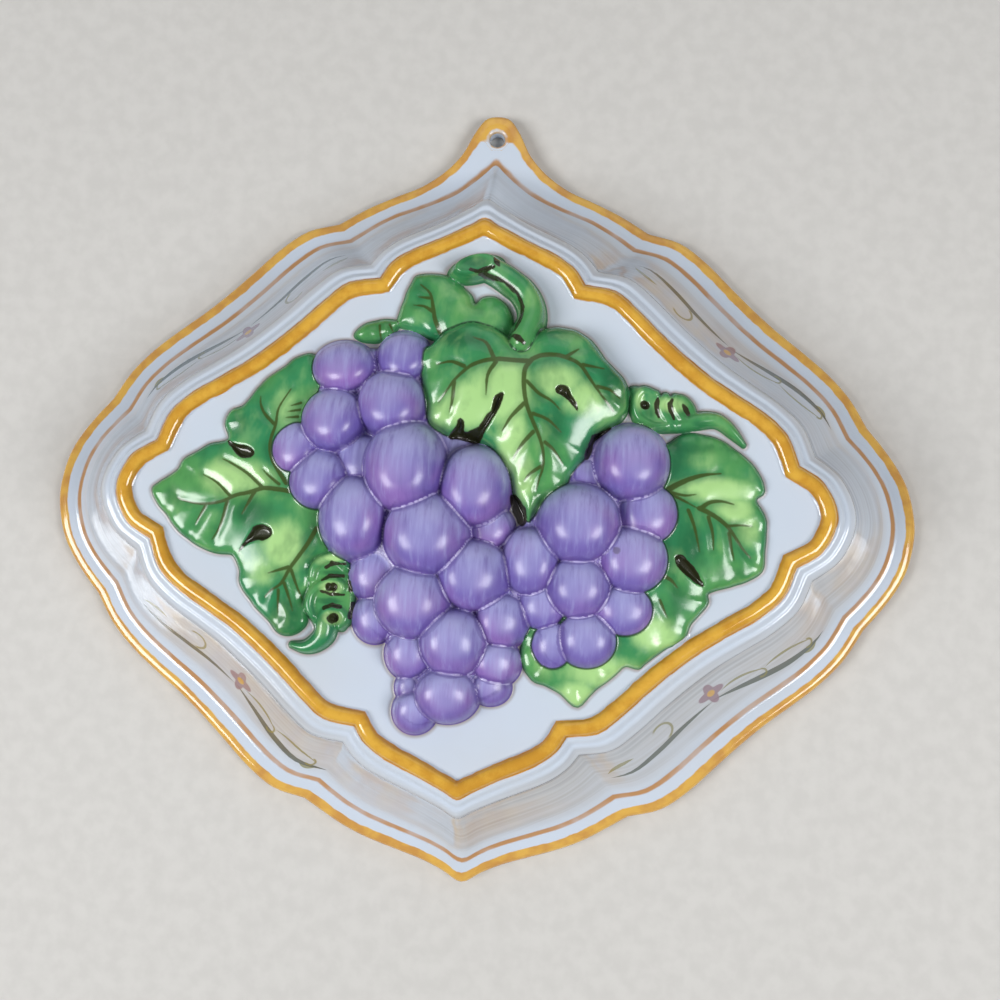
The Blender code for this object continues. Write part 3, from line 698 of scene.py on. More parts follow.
# Thin grey lines of painted shade along the skirt's steps: how far they run outside the band,
# their strength, and the waves a metre along which they fade; then how far they drift,
# the detail of the fading and between which values it runs
SKIRT_LINES = ((-4.0, 0.45, 34.0), (-5.2, 0.4, 23.2), (-6.6, 0.3, 10.6))
SKIRT_LINE_DRIFT = 2.4
SKIRT_LINE_DETAIL = 2.0
SKIRT_LINE_FADE = (0.4, 0.65)

# How far brushed edges and tones wander, how strongly the painted shade on the band's edges and
# the gold cover, the fine line's place in from the rim, and the speck's soft edge and strength
BAND_WANDER = 0.5
BAND_RIM_STRENGTH = 0.55
RIM_WANDER = 0.7
RIM_STRENGTH = 0.95
FINE_LINE_PLACE = 5.9
FINE_LINE_WANDER = 0.35
LEAF_UNEVEN = 0.7
VEIN_WANDER = 0.16
STROKE_STRENGTH = 1.1
SPECK_WANDER = 0.5
SPECK_SOFT = (0.4, 0.65)
DARK_WANDER = 0.7

# The sprig on each long side of the skirt: start and end along the side, height
# up the skirt, slope and bow, and half width
SPRIG_STEMS = (
    (-28.0, -1.0, 12.0, (1.6, -0.6), 1.2),
    (-0.5, 26.7, 7.8, (-3.9, 1.8), 1.5),
)
SPRIG_CURLS = (
    (-28.0, -21.0, 17.0, (2.5, -2.0), 1.1),
    (2.0, 12.4, 15.6, (-1.8, -2.4), 0.7),
    (12.2, 23.8, 13.6, (-1.9, -3.4), 0.7),
    (20.4, 24.4, 4.6, (0.4, 1.2), 0.7),
)
CURL_STRENGTH = 0.85
STEM_STRENGTH = 0.9

# Curled tendrils of the sprig: middle along the side and up the skirt, radius,
# half width, and the turn of the gap in the ring
SPRIG_RINGS = (
    (-13.0, 18.5, 2.4, 0.28, 3.6),
    (11.0, 10.6, 1.1, 0.22, 2.6),
    (22.4, 8.4, 1.1, 0.22, 2.6),
)

# The flower's place along and up and its reach, how much of that its lobes take,
# and how much a height up the skirt counts beside a length along it
FLOWER = (0.0, 17.6, 3.2)
FLOWER_LOBES = 0.45
SKIRT_STRETCH = 0.5

# The glaze: its settings, how much duller the grapes, the greens and the underside
# are, how far below the relief's edge the dull line round its foot has its middle,
# and the glaze's small waves
GLAZE = {"IOR": 1.52, "Specular IOR Level": 0.62, "Coat Weight": 0.15, "Coat Roughness": 0.16}
GRAPE_DULL = 0.27
GREEN_DULL = 0.12
INSIDE_DULL = 0.12
FOOT_MIDDLE = 1.2
GLAZE_BUMP = {"Strength": 0.35, "Distance": 0.00012}
GLAZE_WAVE_WEIGHT = 2.0

# The stage, in metres: each light's name, place, size and power, the point that the
# lights face, and the soft sky
FLOOR_SIZE = 4.0
FLOOR_ROUGHNESS = 0.7
LIGHTS = (
    ("left_light", (-0.75, -0.27, 0.80), 0.5, 9.0),
    ("right_light", (0.70, -0.25, 0.82), 0.46, 7.5),
    ("back_light", (0.1, 1.1, 0.9), 1.0, 1.5),
)
LIGHT_AIM = (0.0, 0.0, 0.03)
SKY_COLOUR = (0.92, 0.95, 1.0, 1.0)
SKY_STRENGTH = 0.17
NEAREST_VIEW = 0.01

half_rim = (RIM_WIDTH / 2, RIM_HEIGHT / 2)
half_panel = (PANEL_WIDTH / 2, PANEL_HEIGHT / 2)
lug_top = half_rim[1] + LUG_REACH
hole_centre = (0.0, lug_top - LUG_RADIUS)
centre_height = (lug_top - half_rim[1]) / 2
ceiling = PANEL_RISE - WALL
row_step = FINE_STEP * math.sqrt(3) / 2
camera_turn = Euler([math.radians(angle) for angle in CAMERA_TURNS], "XYZ")

# The notches round a whole outline, as indices of its points
half_round = 2 * sum(STRETCH_DIVISIONS)
first_notch = STRETCH_DIVISIONS[0]
second_notch = first_notch + STRETCH_DIVISIONS[1]
notches = [start + place for start in (0, half_round)
           for place in (first_notch, second_notch, half_round - second_notch,
                         half_round - first_notch)]
sides = list(zip(notches, notches[1:] + [notches[0] + 2 * half_round]))


# Lines and rings

def blend(a, b, share):
    """A point, of any length, part of the way from a to b."""
    return tuple(p + (q - p) * share for p, q in zip(a, b))


def spline_point(before, start, end, after, share):
    """A point on the smooth curve that runs from start to end."""
    square = share * share
    cube = square * share
    return tuple(
        0.5 * (2 * q + (r - p) * share + (2 * p - 5 * q + 4 * r - s) * square
               + (3 * q - p - 3 * r + s) * cube)
        for p, q, r, s in zip(before, start, end, after))


def smooth_line(points, fine, closed=False):
    """The smooth curve through points, as a chain of close points."""
    count = len(points)
    spans = count if closed else count - 1
    line = []
    for index in range(spans):
        start = points[index]
        end = points[(index + 1) % count]
        before = points[index - 1] if closed or index else blend(start, end, -1)
        last = not closed and index == spans - 1
        after = blend(end, start, -1) if last else points[(index + 2) % count]
        line += [spline_point(before, start, end, after, step / fine) for step in range(fine)]
    if not closed:
        line.append(points[-1])
    return line


def running_lengths(line):
    """How far along a chain each of its points lies."""
    lengths = [0.0]
    for start, end in zip(line, line[1:]):
        lengths.append(lengths[-1] + math.dist(start, end))
    return lengths


def spread(line, shares):
    """Points along a chain at the given shares of its length."""
    lengths = running_lengths(line)
    points = []
    index = 0
    for share in shares:
        target = share * lengths[-1]
        while index < len(line) - 2 and lengths[index + 1] < target:
            index += 1
        span = lengths[index + 1] - lengths[index]
        points.append(blend(line[index], line[index + 1], (target - lengths[index]) / span))
    return points


def scaled(shares, half):
    """Points given as shares of a half width and a half height."""
    return [(x * half[0], y * half[1]) for x, y in shares]


def lug_stretch():
    """From the top of the lug down its side to the rim's first notch."""
    arc = [math.radians(angle) for angle in LUG_ARC]
    points = [(LUG_RADIUS * math.cos(a), hole_centre[1] + LUG_RADIUS * math.sin(a)) for a in arc]
    points.append((LUG_FLARE, half_rim[1] - LUG_FLARE_DROP))
    points += scaled(UPPER_TIP[3:], half_rim)
    return points


def quarter(stretches, half, tip=None):
    """A quarter outline from its tip to just before its side."""
    points = []
    for number, stretch in enumerate(stretches):
        drawn = tip if tip and number == 0 else scaled(stretch, half)
        if number == len(stretches) - 1:
            mirrored = (drawn[-2][0], -drawn[-2][1])
            line = smooth_line(drawn + [mirrored], OUTLINE_STEPS)[:-OUTLINE_STEPS]
        else:
            line = smooth_line(drawn, OUTLINE_STEPS)
        divisions = STRETCH_DIVISIONS[number]
        crowding = TIP_CROWDING if tip and number == 0 else 1.0
        points += spread(line, [(step / divisions) ** crowding for step in range(divisions)])
    points.append((half[0], 0.0))
    return points


def outline(stretches, half, upper_tip=None):
    """A whole outline, from the upper tip round to the right and back."""
    lower = quarter(stretches, half)
    upper = quarter(stretches, half, upper_tip) if upper_tip else lower
    right = upper[:-1] + [(x, -y) for x, y in reversed(lower)]
    left = [(-x, y) for x, y in reversed(right[1:-1])]
    return right + left


def inset(line, distance):
    """A closed outline moved inwards by a distance, square to itself."""
    count = len(line)
    moved = []
    for index, point in enumerate(line):
        back = line[index - 1]
        front = line[(index + 1) % count]
        first = math.atan2(point[1] - back[1], point[0] - back[0])
        second = math.atan2(front[1] - point[1], front[0] - point[0])
        turn = math.remainder(second - first, math.tau)
        reach = distance / max(math.cos(turn / 2), MITRE_LIMIT)
        inward = first + turn / 2 - math.pi / 2
        moved.append((point[0] + reach * math.cos(inward), point[1] + reach * math.sin(inward)))
    return moved


def step_towards(line, target, distance):
    """Each point of an outline moved a distance towards its match on another."""
    return [blend(p, q, min(distance / math.dist(p, q), 1.0)) for p, q in zip(line, target)]


def between(line, target, share):
    """An outline part of the way from one to another."""
    return [blend(p, q, share) for p, q in zip(line, target)]


def fine_ring(ring):
    """A ring drawn finely: smooth all the way, with its corners kept at the notches."""
    line = []
    for start, end in sides:
        stretch = [ring[index % len(ring)] for index in range(start, end + 1)]
        line += smooth_line(stretch, RING_FINE)[:-1]
    return line


def side_places():
    """For each point of a fine ring, its place along a long side, and whether it is on one."""
    places = []
    on_long_side = []
    for number, (start, end) in enumerate(sides):
        steps = (end - start) * RING_FINE
        direction, shift = LONG_SIDES.get(number, (0, 0.0))
        on_long_side += [abs(direction)] * steps
        for step in range(steps):
            share = step / steps - 0.5
            places.append(direction * share * LONG_SIDE_LENGTH - shift)
    return places, on_long_side


def skirt_run():
    """The mean distance from the rim's outline to the panel's."""
    across = half_rim[0] - half_panel[0]
    upright = half_rim[1] - half_panel[1]
    return (across + upright) / 2


def skirt_profile():
    """The skirt from the flange to the foot of the band: inward run and height."""
    run = skirt_run()
    top = PANEL_RISE - BAND_OUTER_DROP
    steps_start = run - SHOULDER_WIDTH - STEPS * STEP_WIDTH
    steps_foot = top - SHOULDER_DROP - STEPS * STEP_DROP
    width = steps_start - FLANGE_WIDTH
    height = steps_foot - RIM_THICKNESS
    profile = [(FLANGE_WIDTH + width * share, RIM_THICKNESS + height * share ** FLARE_CURVE)
               for share in FLARE_SHARES]
    for number in range(STEPS):
        foot = steps_start + number * STEP_WIDTH
        level = steps_foot + number * STEP_DROP
        profile.append((foot + STEP_NOSE[0] * STEP_WIDTH, level + STEP_NOSE[1] * STEP_DROP))
    profile.append((run - SHOULDER_WIDTH, top - SHOULDER_DROP))
    profile.append((run - SHOULDER_NOSE * SHOULDER_WIDTH, top))
    profile.append((run, top))
    return profile


def inner_profile(profile):
    """The underside of a profile, one wall away from it, above the table."""
    under = []
    for index in range(1, len(profile) - 1):
        back = profile[index - 1]
        front = profile[index + 1]
        slope = math.atan2(front[1] - back[1], front[0] - back[0])
        under.append((profile[index][0] + WALL * math.sin(slope),
                      profile[index][1] - WALL * math.cos(slope)))
    return under


def shell_rows():
    """Every fine ring of the casting, from the panel out, round and back inside.

    Each row is its ring, its height and what the paint needs to know of it: how
    far in it lies from the rim, how far in from the panel's outline, and how far
    up the skirt.
    """
    rim = outline(RIM_QUARTER, half_rim, scaled(UPPER_TIP, half_rim))
    rim_with_lug = outline(RIM_QUARTER, half_rim, lug_stretch())
    panel = outline(PANEL_QUARTER, half_panel)
    run = skirt_run()
    profile = skirt_profile()
    flange_end = between(rim, panel, FLANGE_WIDTH / run)
    rows = []

    def add(ring, height, edge, band=-FAR, climb=-FAR):
        rows.append((fine_ring(ring), height, edge, band, climb))

    add(inset(panel, BAND_WIDTH + BAND_FOOT), PANEL_RISE, FAR, BAND_WIDTH + BAND_FOOT)
    for step in range(BAND_ROWS):
        share = 1.0 - step / (BAND_ROWS - 1)
        bulge = math.sqrt(max(1.0 - (2 * share - 1) ** 2, 0.0))
        foot = PANEL_RISE - BAND_OUTER_DROP * (1 - share)
        add(inset(panel, share * BAND_WIDTH), foot + bulge * BAND_RISE, FAR, share * BAND_WIDTH)

    fine_profile = smooth_line(profile, SKIRT_FINE)
    climbs = running_lengths(fine_profile)
    for (distance, height), climb in reversed(list(zip(fine_profile, climbs))):
        if distance < run:
            add(between(rim, panel, distance / run), height, distance, distance - run, climb)

    roll_ring = step_towards(rim_with_lug, flange_end, RIM_ROLL)
    for step in range(1, FLANGE_ROWS + 1):
        share = step / (FLANGE_ROWS + 1)
        edge = FLANGE_WIDTH + (RIM_ROLL - FLANGE_WIDTH) * share
        add(between(flange_end, roll_ring, share), RIM_THICKNESS, edge)
    for step in range(ROLL_ROWS + 1):
        turn = math.pi * (0.5 - step / ROLL_ROWS)
        roll = RIM_ROLL if turn > 0 else UNDER_ROLL
        ring = step_towards(rim_with_lug, flange_end, roll * (1 - math.cos(turn)))
        add(ring, RIM_THICKNESS / 2 * (1 + math.sin(turn)), RIM_ROLL * turn / (math.pi / 2))

    under = [point for point in inner_profile(profile) if point[1] > TABLE_EASE]
    mouth = under[0][0] - MOUTH_SLOPE * under[0][1]
    foot_ring = step_towards(rim_with_lug, flange_end, UNDER_ROLL)
    mouth_ring = between(rim, panel, mouth / run)
    for step in range(1, UNDER_ROWS + 1):
        add(between(foot_ring, mouth_ring, step / UNDER_ROWS), 0.0, -RIM_ROLL - step)
    kept = [under[0]] + [point for point in under[1:] if point[1] < ceiling - CEILING_EASE]
    inside = smooth_line([(mouth, 0.0)] + kept, INNER_FINE)
    for distance, height in inside[1:]:
        add(between(rim, panel, distance / run), height, -FAR)
    add(inset(panel, WALL), ceiling, -FAR)
    return rows


# The relief as heights above the panel over a fine triangular lattice

def on_relief(pixel, height):
    """Where a point of the photograph lies, at a height above the panel."""
    ray = camera_turn.to_matrix() @ Vector((pixel[0] - FRAME_PIXELS / 2,
                                            FRAME_PIXELS / 2 - pixel[1], -FOCAL_PIXELS))
    reach = (PANEL_RISE + height - CAMERA_PLACE[2]) / ray.z
    return (CAMERA_PLACE[0] + reach * ray.x, CAMERA_PLACE[1] + centre_height + reach * ray.y)


def traced(pixels, height, fine, closed=False):
    """The smooth curve through points of the photograph, at a height above the panel."""
    return smooth_line([on_relief(pixel, height) for pixel in pixels], fine, closed)


def lattice():
    """The places of the panel's lattice points, in rows that are shifted in turn."""
    columns = np.arange(-half_panel[0], half_panel[0], FINE_STEP)
    rows = np.arange(-half_panel[1], half_panel[1], row_step)
    across, up = np.meshgrid(columns, rows)
    across[1::2] += FINE_STEP / 2
    return across, up


def oval(across, up, form):
    """How far out each point lies from an oval's middle, with 1 at its edge."""
    return np.hypot((across - form[0]) / form[2], (up - form[1]) / form[3])


def mound_height(across, up, mound):
    """The height of a smooth round mound with steep sides."""
    out = oval(across, up, mound)
    top = mound[4] * np.sqrt(np.clip(1 - np.minimum(out, 1) ** 2, 0, None))
    return top - GRAPE_WALL_SLOPE * mound[2] * np.clip(out - 1, 0, None)


def grape_height(across, up, grape, out, spine):
    """The height of a grape that leans down away from the spine of its bunch."""
    x, y, half_width, half_height, lift = grape
    lean_across = -LEAN_ACROSS * max(-1.0, min(1.0, (x - spine) / LEAN_REACH))
    lean_up = -LEAN_UP * (y - LEAN_MIDDLE)
    rise = GRAPE_FLATNESS * (half_width + half_height) / 2
    drop = GRAPE_FULLNESS * np.minimum(out, 1) ** GRAPE_SQUARENESS
    slope = lean_across * (across - x) + lean_up * (up - y)
    steepest = math.hypot(lean_across * half_width, lean_up * half_height)
    shrink = rise / math.hypot(rise, steepest)
    wall = GRAPE_WALL_SLOPE * half_width * np.clip(out - 1, 0, None)
    return lift + (rise * np.sqrt(np.clip(1 - drop, 0, None)) + slope) * shrink - wall


def to_segment(across, up, start, end):
    """The distance to a straight piece, the share of the way along it, and its length."""
    step_x = end[0] - start[0]
    step_y = end[1] - start[1]
    square = max(step_x * step_x + step_y * step_y, TINY)
    share = np.clip(((across - start[0]) * step_x + (up - start[1]) * step_y) / square, 0, 1)
    distance = np.hypot(across - start[0] - share * step_x, up - start[1] - share * step_y)
    return distance, share, math.sqrt(square)


def to_line(across, up, line, widths=None):
    """Distance to a chain of points, less its width there, and how far along it."""
    best = np.full(across.shape, FAR)
    along = np.zeros(across.shape)
    lengths = running_lengths(line)
    for index, (start, end) in enumerate(zip(line, line[1:])):
        distance, share, length = to_segment(across, up, start, end)
        if widths is not None:
            distance = distance - (widths[index] + share * (widths[index + 1] - widths[index]))
        nearer = distance < best
        best = np.where(nearer, distance, best)
        along = np.where(nearer, lengths[index] + share * length, along)
    return best, along


def inside_line(across, up, line):
    """Whether each point is inside a closed outline."""
    inside = np.zeros(across.shape, bool)
    for (ax, ay), (bx, by) in zip(line, line[1:] + line[:1]):
        crosses = (ay > up) != (by > up)
        slope = (bx - ax) / (by - ay) if by != ay else 0.0
        inside ^= crosses & (across < ax + (up - ay) * slope)
    return inside


def from_outline(across, up, line):
    """How far each point lies inside a closed outline, less than nothing outside it, and
    how far along it."""
    edge, along = to_line(across, up, line + line[:1])
    return np.where(inside_line(across, up, line), edge, -edge), along


def window(across, up, points, margin):
    """The part of the lattice near some points, as a slice of rows and one of columns."""
    slices = []
    for axis, places in ((1, up[:, 0]), (0, across[0])):
        low = min(point[axis] for point in points) - margin
        high = max(point[axis] for point in points) + margin
        near = np.nonzero((places > low) & (places < high))[0]
        slices.append(slice(near[0], near[-1] + 1))
    return tuple(slices)


def round_edge(inward, width):
    """The share of its full height that a round edge has, by how far in a point lies."""
    share = np.clip(inward / width, 0, 1)
    return np.sqrt(share * (2 - share))


def low_body(across, up, pixels, level, rounding):
    """The height of a flat body with a round edge, from its outline in pixels."""
    line = traced(pixels, level, BODY_FINE, closed=True)
    part = window(across, up, line, OUTLINE_MARGIN)
    inward = from_outline(across[part], up[part], line)[0]
    height = np.full(across.shape, -FAR)
    height[part] = (level * round_edge(inward, rounding)
                    + LEAF_WALL_SLOPE * np.minimum(inward, 0))
    return height


def from_crossing(difference):
    """How far each point lies from where a difference of two heights is nothing."""
    by_rows, by_columns = np.gradient(difference, row_step, FINE_STEP)
    return np.abs(difference) / np.clip(np.hypot(by_rows, by_columns), LEAST_SLOPE, None)


def grape_layer(across, up):
    """The bunches' height, how far from a crease, and the place up and out on each grape."""
    best = np.full(across.shape, -FAR)
    second = np.full(across.shape, -FAR)
    grape_up = np.zeros(across.shape)
    grape_out = np.ones(across.shape)
    for spine, bunch in zip(BUNCH_SPINES, (LEFT_BUNCH, RIGHT_BUNCH)):
        for grape in bunch:
            out = oval(across, up, grape)
            height = grape_height(across, up, grape, out, spine)
            higher = height > best
            second = np.where(higher, best, np.maximum(second, height))
            best = np.where(higher, height, best)
            grape_up = np.where(higher, (up - grape[1]) / grape[3], grape_up)
            grape_out = np.where(higher, out, grape_out)
    for pixels in BUNCH_OUTLINES:
        body = low_body(across, up, pixels, BUNCH_BODY, BUNCH_ROUND)
        second = np.maximum(second, np.minimum(best, body))
        best = np.maximum(best, body)
    return best, from_crossing(best - second), grape_up, grape_out


def vein_layer(across, up):
    """How far each point lies from the edge of a painted vein."""
    veins = np.full(across.shape, FAR)
    for name, height in VEIN_HEIGHTS.items():
        for width, pixels in VEINS[name]:
            line = traced(pixels, height, VEIN_LINE_FINE)
            last = len(line) - 1
            widths = [VEIN_BREADTH * width * (1.0 - VEIN_TAPER * (index / last) ** VEIN_TAPER_CURVE)
                      for index in range(last + 1)]
            part = window(across, up, line, VEIN_MARGIN)
            painted = to_line(across[part], up[part], line, widths)[0]
            veins[part] = np.minimum(veins[part], painted)
    return veins


def leaf_layer(across, up, veins):
    """The height of the front leaves and of those behind: rippled edges, domed blades, veins."""
    best = np.full(across.shape, -FAR)
    behind = np.full(across.shape, -FAR)
    beside = np.clip(veins, 0, None)
    pillow = 1 - np.exp(-beside / PILLOW_REACH)
    groove = np.exp(-(beside / VEIN_GROOVE_WIDTH) ** 2)
    for pixels, peak, peak_height, edge_height in LEAVES.values():
        line = traced(pixels, edge_height, LEAF_OUTLINE_FINE, closed=True)
        part = window(across, up, line, OUTLINE_MARGIN)
        x, y = across[part], up[part]
        inward, along = from_outline(x, y, line)
        reach = max(math.dist(peak, point) for point in line)
        away = np.hypot(x - peak[0], y - peak[1])
        within = np.clip(inward, 0, None)
        share = within / (within + BLADE_SPREAD * away + BLADE_LEAST)
        blade = edge_height + (peak_height - edge_height) * np.sin(share * math.pi / 2)
        blade = blade - BLADE_DROP * (away / reach)
        blade = blade - LEAF_ROUND_DROP * edge_height * (1 - round_edge(inward, LEAF_ROUND))
        rise, pace, start = SMALL_RIPPLE
        ripple = np.sin(math.tau * along / RIPPLE_LENGTH) + rise * np.sin(pace * along + start)
        blade = blade + RIPPLE_RISE * ripple * np.exp(-within / RIPPLE_REACH)
        blade = blade + PILLOW_RISE * (pillow[part] - 0.5) - VEIN_GROOVE * groove[part]
        blade = blade + LEAF_WALL_SLOPE * np.minimum(inward, 0)
        behind[part] = np.maximum(behind[part], np.minimum(best[part], blade))
        best[part] = np.maximum(best[part], blade)
    return best, behind


def round_bar(across, up, line):
    """The height of a round bar along points that have a radius and a middle height."""
    best = np.full(across.shape, -FAR)
    for start, end in zip(line, line[1:]):
        part = window(across, up, (start, end), BAR_MARGIN)
        distance, share = to_segment(across[part], up[part], start, end)[:2]
        radius = start[2] + share * (end[2] - start[2])
        middle = start[3] + share * (end[3] - start[3])
        top = np.sqrt(np.clip(radius ** 2 - distance ** 2, 0, None))
        height = middle + top - LEAF_WALL_SLOPE * np.clip(distance - radius, 0, None)
        best[part] = np.maximum(best[part], height)
    return best


def stem_layer(across, up):
    """The cut vine stem that rises from behind the crown leaf."""
    drawn = [on_relief((x, y), middle) + (radius, middle) for x, y, middle, radius in STEM_LINE]
    height = round_bar(across, up, smooth_line(drawn, STEM_FINE))
    x, y, middle, half_length, half_width, top = CUT_END
    place = on_relief((x, y), middle)
    turn = math.radians(CUT_TURN)
    along = (across - place[0]) * math.cos(turn) + (up - place[1]) * math.sin(turn)
    beside = (up - place[1]) * math.cos(turn) - (across - place[0]) * math.sin(turn)
    out = np.hypot(along / half_length, beside / half_width)
    rise, where, width = CUT_LIP
    lip = rise * np.exp(-((out - where) / width) ** 2)
    wall = half_width * LEAF_WALL_SLOPE * np.clip(out - 1, 0, None)
    end = top + lip - CUT_TILT * beside - wall
    return np.where(out < where, end, np.maximum(height, end))


def tendril_layer(across, up):
    """The curled tendrils: a low body each, with round hoops and a tail on it."""
    best = np.full(across.shape, -FAR)
    for pixels in TENDRIL_BODIES:
        best = np.maximum(best, low_body(across, up, pixels, TENDRIL_LEVEL, TENDRIL_ROUND))
    for middle, points in TENDRIL_BARS:
        drawn = [on_relief((x, y), middle) + (radius,) for x, y, radius in points]
        line = [point + (middle,) for point in smooth_line(drawn, BAR_FINE)]
        best = np.maximum(best, round_bar(across, up, line))
    return best


def dark_layer(across, up):
    """How far each point lies from the dark paint, and the depth of the hollows in it."""
    dark = np.full(across.shape, FAR)
    pit = np.zeros(across.shape)

    def mark(part, outward, depth=0.0):
        dark[part] = np.minimum(dark[part], outward)
        pit[part] = np.maximum(pit[part], depth * np.clip(-outward / PIT_EDGE, 0, 1))

    for level, depth, pixels in DARK_SHAPES:
        line = traced(pixels, level, BODY_FINE, closed=True)
        part = window(across, up, line, DARK_MARGIN)
        mark(part, -from_outline(across[part], up[part], line)[0], depth)
    everywhere = (slice(None), slice(None))
    for x, y, level, radius, depth in ROUND_HOLES:
        place = on_relief((x, y), level)
        mark(everywhere, np.hypot(across - place[0], up - place[1]) - radius, depth)
    for widths, level, pixels in DARK_LINES:
        line = [on_relief(pixel, level) for pixel in pixels]
        part = window(across, up, line, DARK_MARGIN)
        mark(part, to_line(across[part], up[part], line, widths)[0])
    return dark, pit


def patches(across, up, places):
    """How strongly each point lies in one of some soft oval patches."""
    strongest = np.zeros(across.shape)
    for x, y, level, half_width, half_height, strength in places:
        out = oval(across, up, on_relief((x, y), level) + (half_width, half_height))
        strongest = np.maximum(strongest, strength * np.clip(PATCH_REACH - out, 0, 1))
    return strongest


def shifted(values, rows, columns):
    """The lattice's values moved by whole rows and columns."""
    return np.roll(np.roll(values, rows, axis=0), columns, axis=1)


def softened(values):
    """The heights with their creases softened, as a glaze does."""
    for rows, columns in BLUR_STEPS:
        around = shifted(values, rows, columns) + shifted(values, -rows, -columns)
        values = (1 - BLUR_WEIGHT) * values + BLUR_WEIGHT * around / 2
    return values


def off_surface(values, spacing):
    """How far each point lies from the mean of its six neighbours at a spacing."""
    half = spacing // 2
    total = shifted(values, 0, spacing) + shifted(values, 0, -spacing)
    for rows in (spacing, -spacing):
        total = total + shifted(values, rows, half) + shifted(values, rows, -half)
    return np.abs(values - total / 6)


def widened(mask):
    """A mask grown by one row and one column each way."""
    mask = mask | shifted(mask, 1, 0) | shifted(mask, -1, 0)
    return mask | shifted(mask, 0, 1) | shifted(mask, 0, -1)


def on_level(shape, spacing):
    """Which lattice points belong to the coarser lattice of a spacing."""
    rows, columns = np.indices(shape)
    shift = np.where((rows // spacing) % 2 == 1, spacing // 2, 0)
    return (rows % spacing == 0) & (columns % spacing == shift)


def glazed(height, across, up):
    """The relief's heights under a glaze that softens the creases and lies in slow waves."""
    height = softened(np.minimum(height, TALLEST))
    wave = (np.sin(GLAZE_WAVE_ACROSS[0] * across + GLAZE_WAVE_ACROSS[1])
            * np.sin(GLAZE_WAVE_UP[0] * up + GLAZE_WAVE_UP[1]))
    return np.clip(height + GLAZE_WAVE * wave * (height > GLAZE_FLOOR), 0, TALLEST)


def relief_layers(across, up):
    """The relief's heights and everything that its paint needs to know."""
    veins = vein_layer(across, up)
    grapes, crease, grape_up, grape_out = grape_layer(across, up)
    leaves, behind = leaf_layer(across, up, veins)
    greens = leaves
    for layer in (stem_layer(across, up), tendril_layer(across, up)):
        behind = np.maximum(behind, np.minimum(greens, layer))
        greens = np.maximum(greens, layer)
    mounds = np.zeros(across.shape)
    for mound in MOUNDS:
        mounds = np.maximum(mounds, mound_height(across, up, mound))
    under_grapes = np.where(grapes > greens, mounds, 0.0)
    height = np.maximum(np.maximum(grapes, greens), np.maximum(under_grapes, 0.0))
    dark, pit = dark_layer(across, up)
    height = height - pit * (height > BORDER_FLOOR)

    both = (grapes > BORDER_FLOOR) & (greens > BORDER_FLOOR)
    speck = on_relief(SPECK[:2], SPECK[2])
    values = {
        "grape": grapes - np.maximum(greens, -PAINT_MARGIN),
        "green": greens - np.maximum(grapes, -PAINT_MARGIN),
        "on_leaf": leaves - np.maximum(grapes, 0.0),
        "crease": crease,
        "grape_up": grape_up,
        "grape_out": grape_out,
        "vein": veins,
        "dark": dark,
        "border": np.where(both, from_crossing(greens - grapes), FAR),
        "fold": np.where(behind > BORDER_FLOOR, from_crossing(greens - behind), FAR),
        "pale": patches(across, up, PALE_PATCHES),
        "deep": patches(across, up, DEEP_PATCHES),
        "speck": np.hypot(across - speck[0], up - speck[1]),
        "foot": np.maximum(grapes, greens),
    }
    layers = {name: np.clip(values[name], least, most)
              for name, (least, most, away) in RELIEF_VALUES.items()}
    return glazed(height, across, up), layers


# Putting the mesh together

class MeshParts:
    """Points, faces and painted values gathered from each part of the surface."""

    def __init__(self):
        self.points = []
        self.faces = []
        self.away = {name: limits[2] for name, limits in RELIEF_VALUES.items()} | RING_VALUES
        self.values = {name: [] for name in self.away}

    def add_points(self, points, **values):
        """Adds points, gives each its painted values, and returns the first index."""
        first = len(self.points)
        self.points += points
        for name, kept in self.values.items():
            kept.extend(np.broadcast_to(values.get(name, self.away[name]), len(points)))
        return first

    def fill_ring(self, ring, first_of_ring, points, downward=False, **values):
        """Adds points inside a closed ring of the shell, and the faces that join them to it."""
        first = self.add_points(points, **values)
        count = len(ring)
        for face in filled(ring, [point[:2] for point in points]):
            named = [first_of_ring + index if index < count else first + index - count
                     for index in face]
            self.faces.append(tuple(named[::-1] if downward else named))


def closed_edges(first, count):
    """The edges of a closed ring of points, from the index of its first."""
    return [(first + index, first + (index + 1) % count) for index in range(count)]


def middle_of(points):
    """The mean place of some points, across and up."""
    return [sum(point[axis] for point in points) / len(points) for axis in (0, 1)]


def filled(boundary, inner, hole=()):
    """Triangles between a closed boundary, an optional hole, and points between them."""
    edges = closed_edges(0, len(boundary)) + closed_edges(len(boundary), len(hole))
    points = [Vector(point) for point in (*boundary, *hole, *inner)]
    result = delaunay_2d_cdt(points, edges, [], 1, WELD)
    if len(result[0]) != len(points):
        raise RuntimeError("the surface between two outlines needed extra points")
    order = [origins[0] for origins in result[3]]
    triangles = [tuple(order[index] for index in face) for face in result[2]]
    if hole:
        centre = middle_of(hole)
        reach = max(math.dist(centre, point) for point in hole) * HOLE_SHRINK
        triangles = [face for face in triangles
                     if math.dist(middle_of([points[index] for index in face]), centre) > reach]
    return triangles


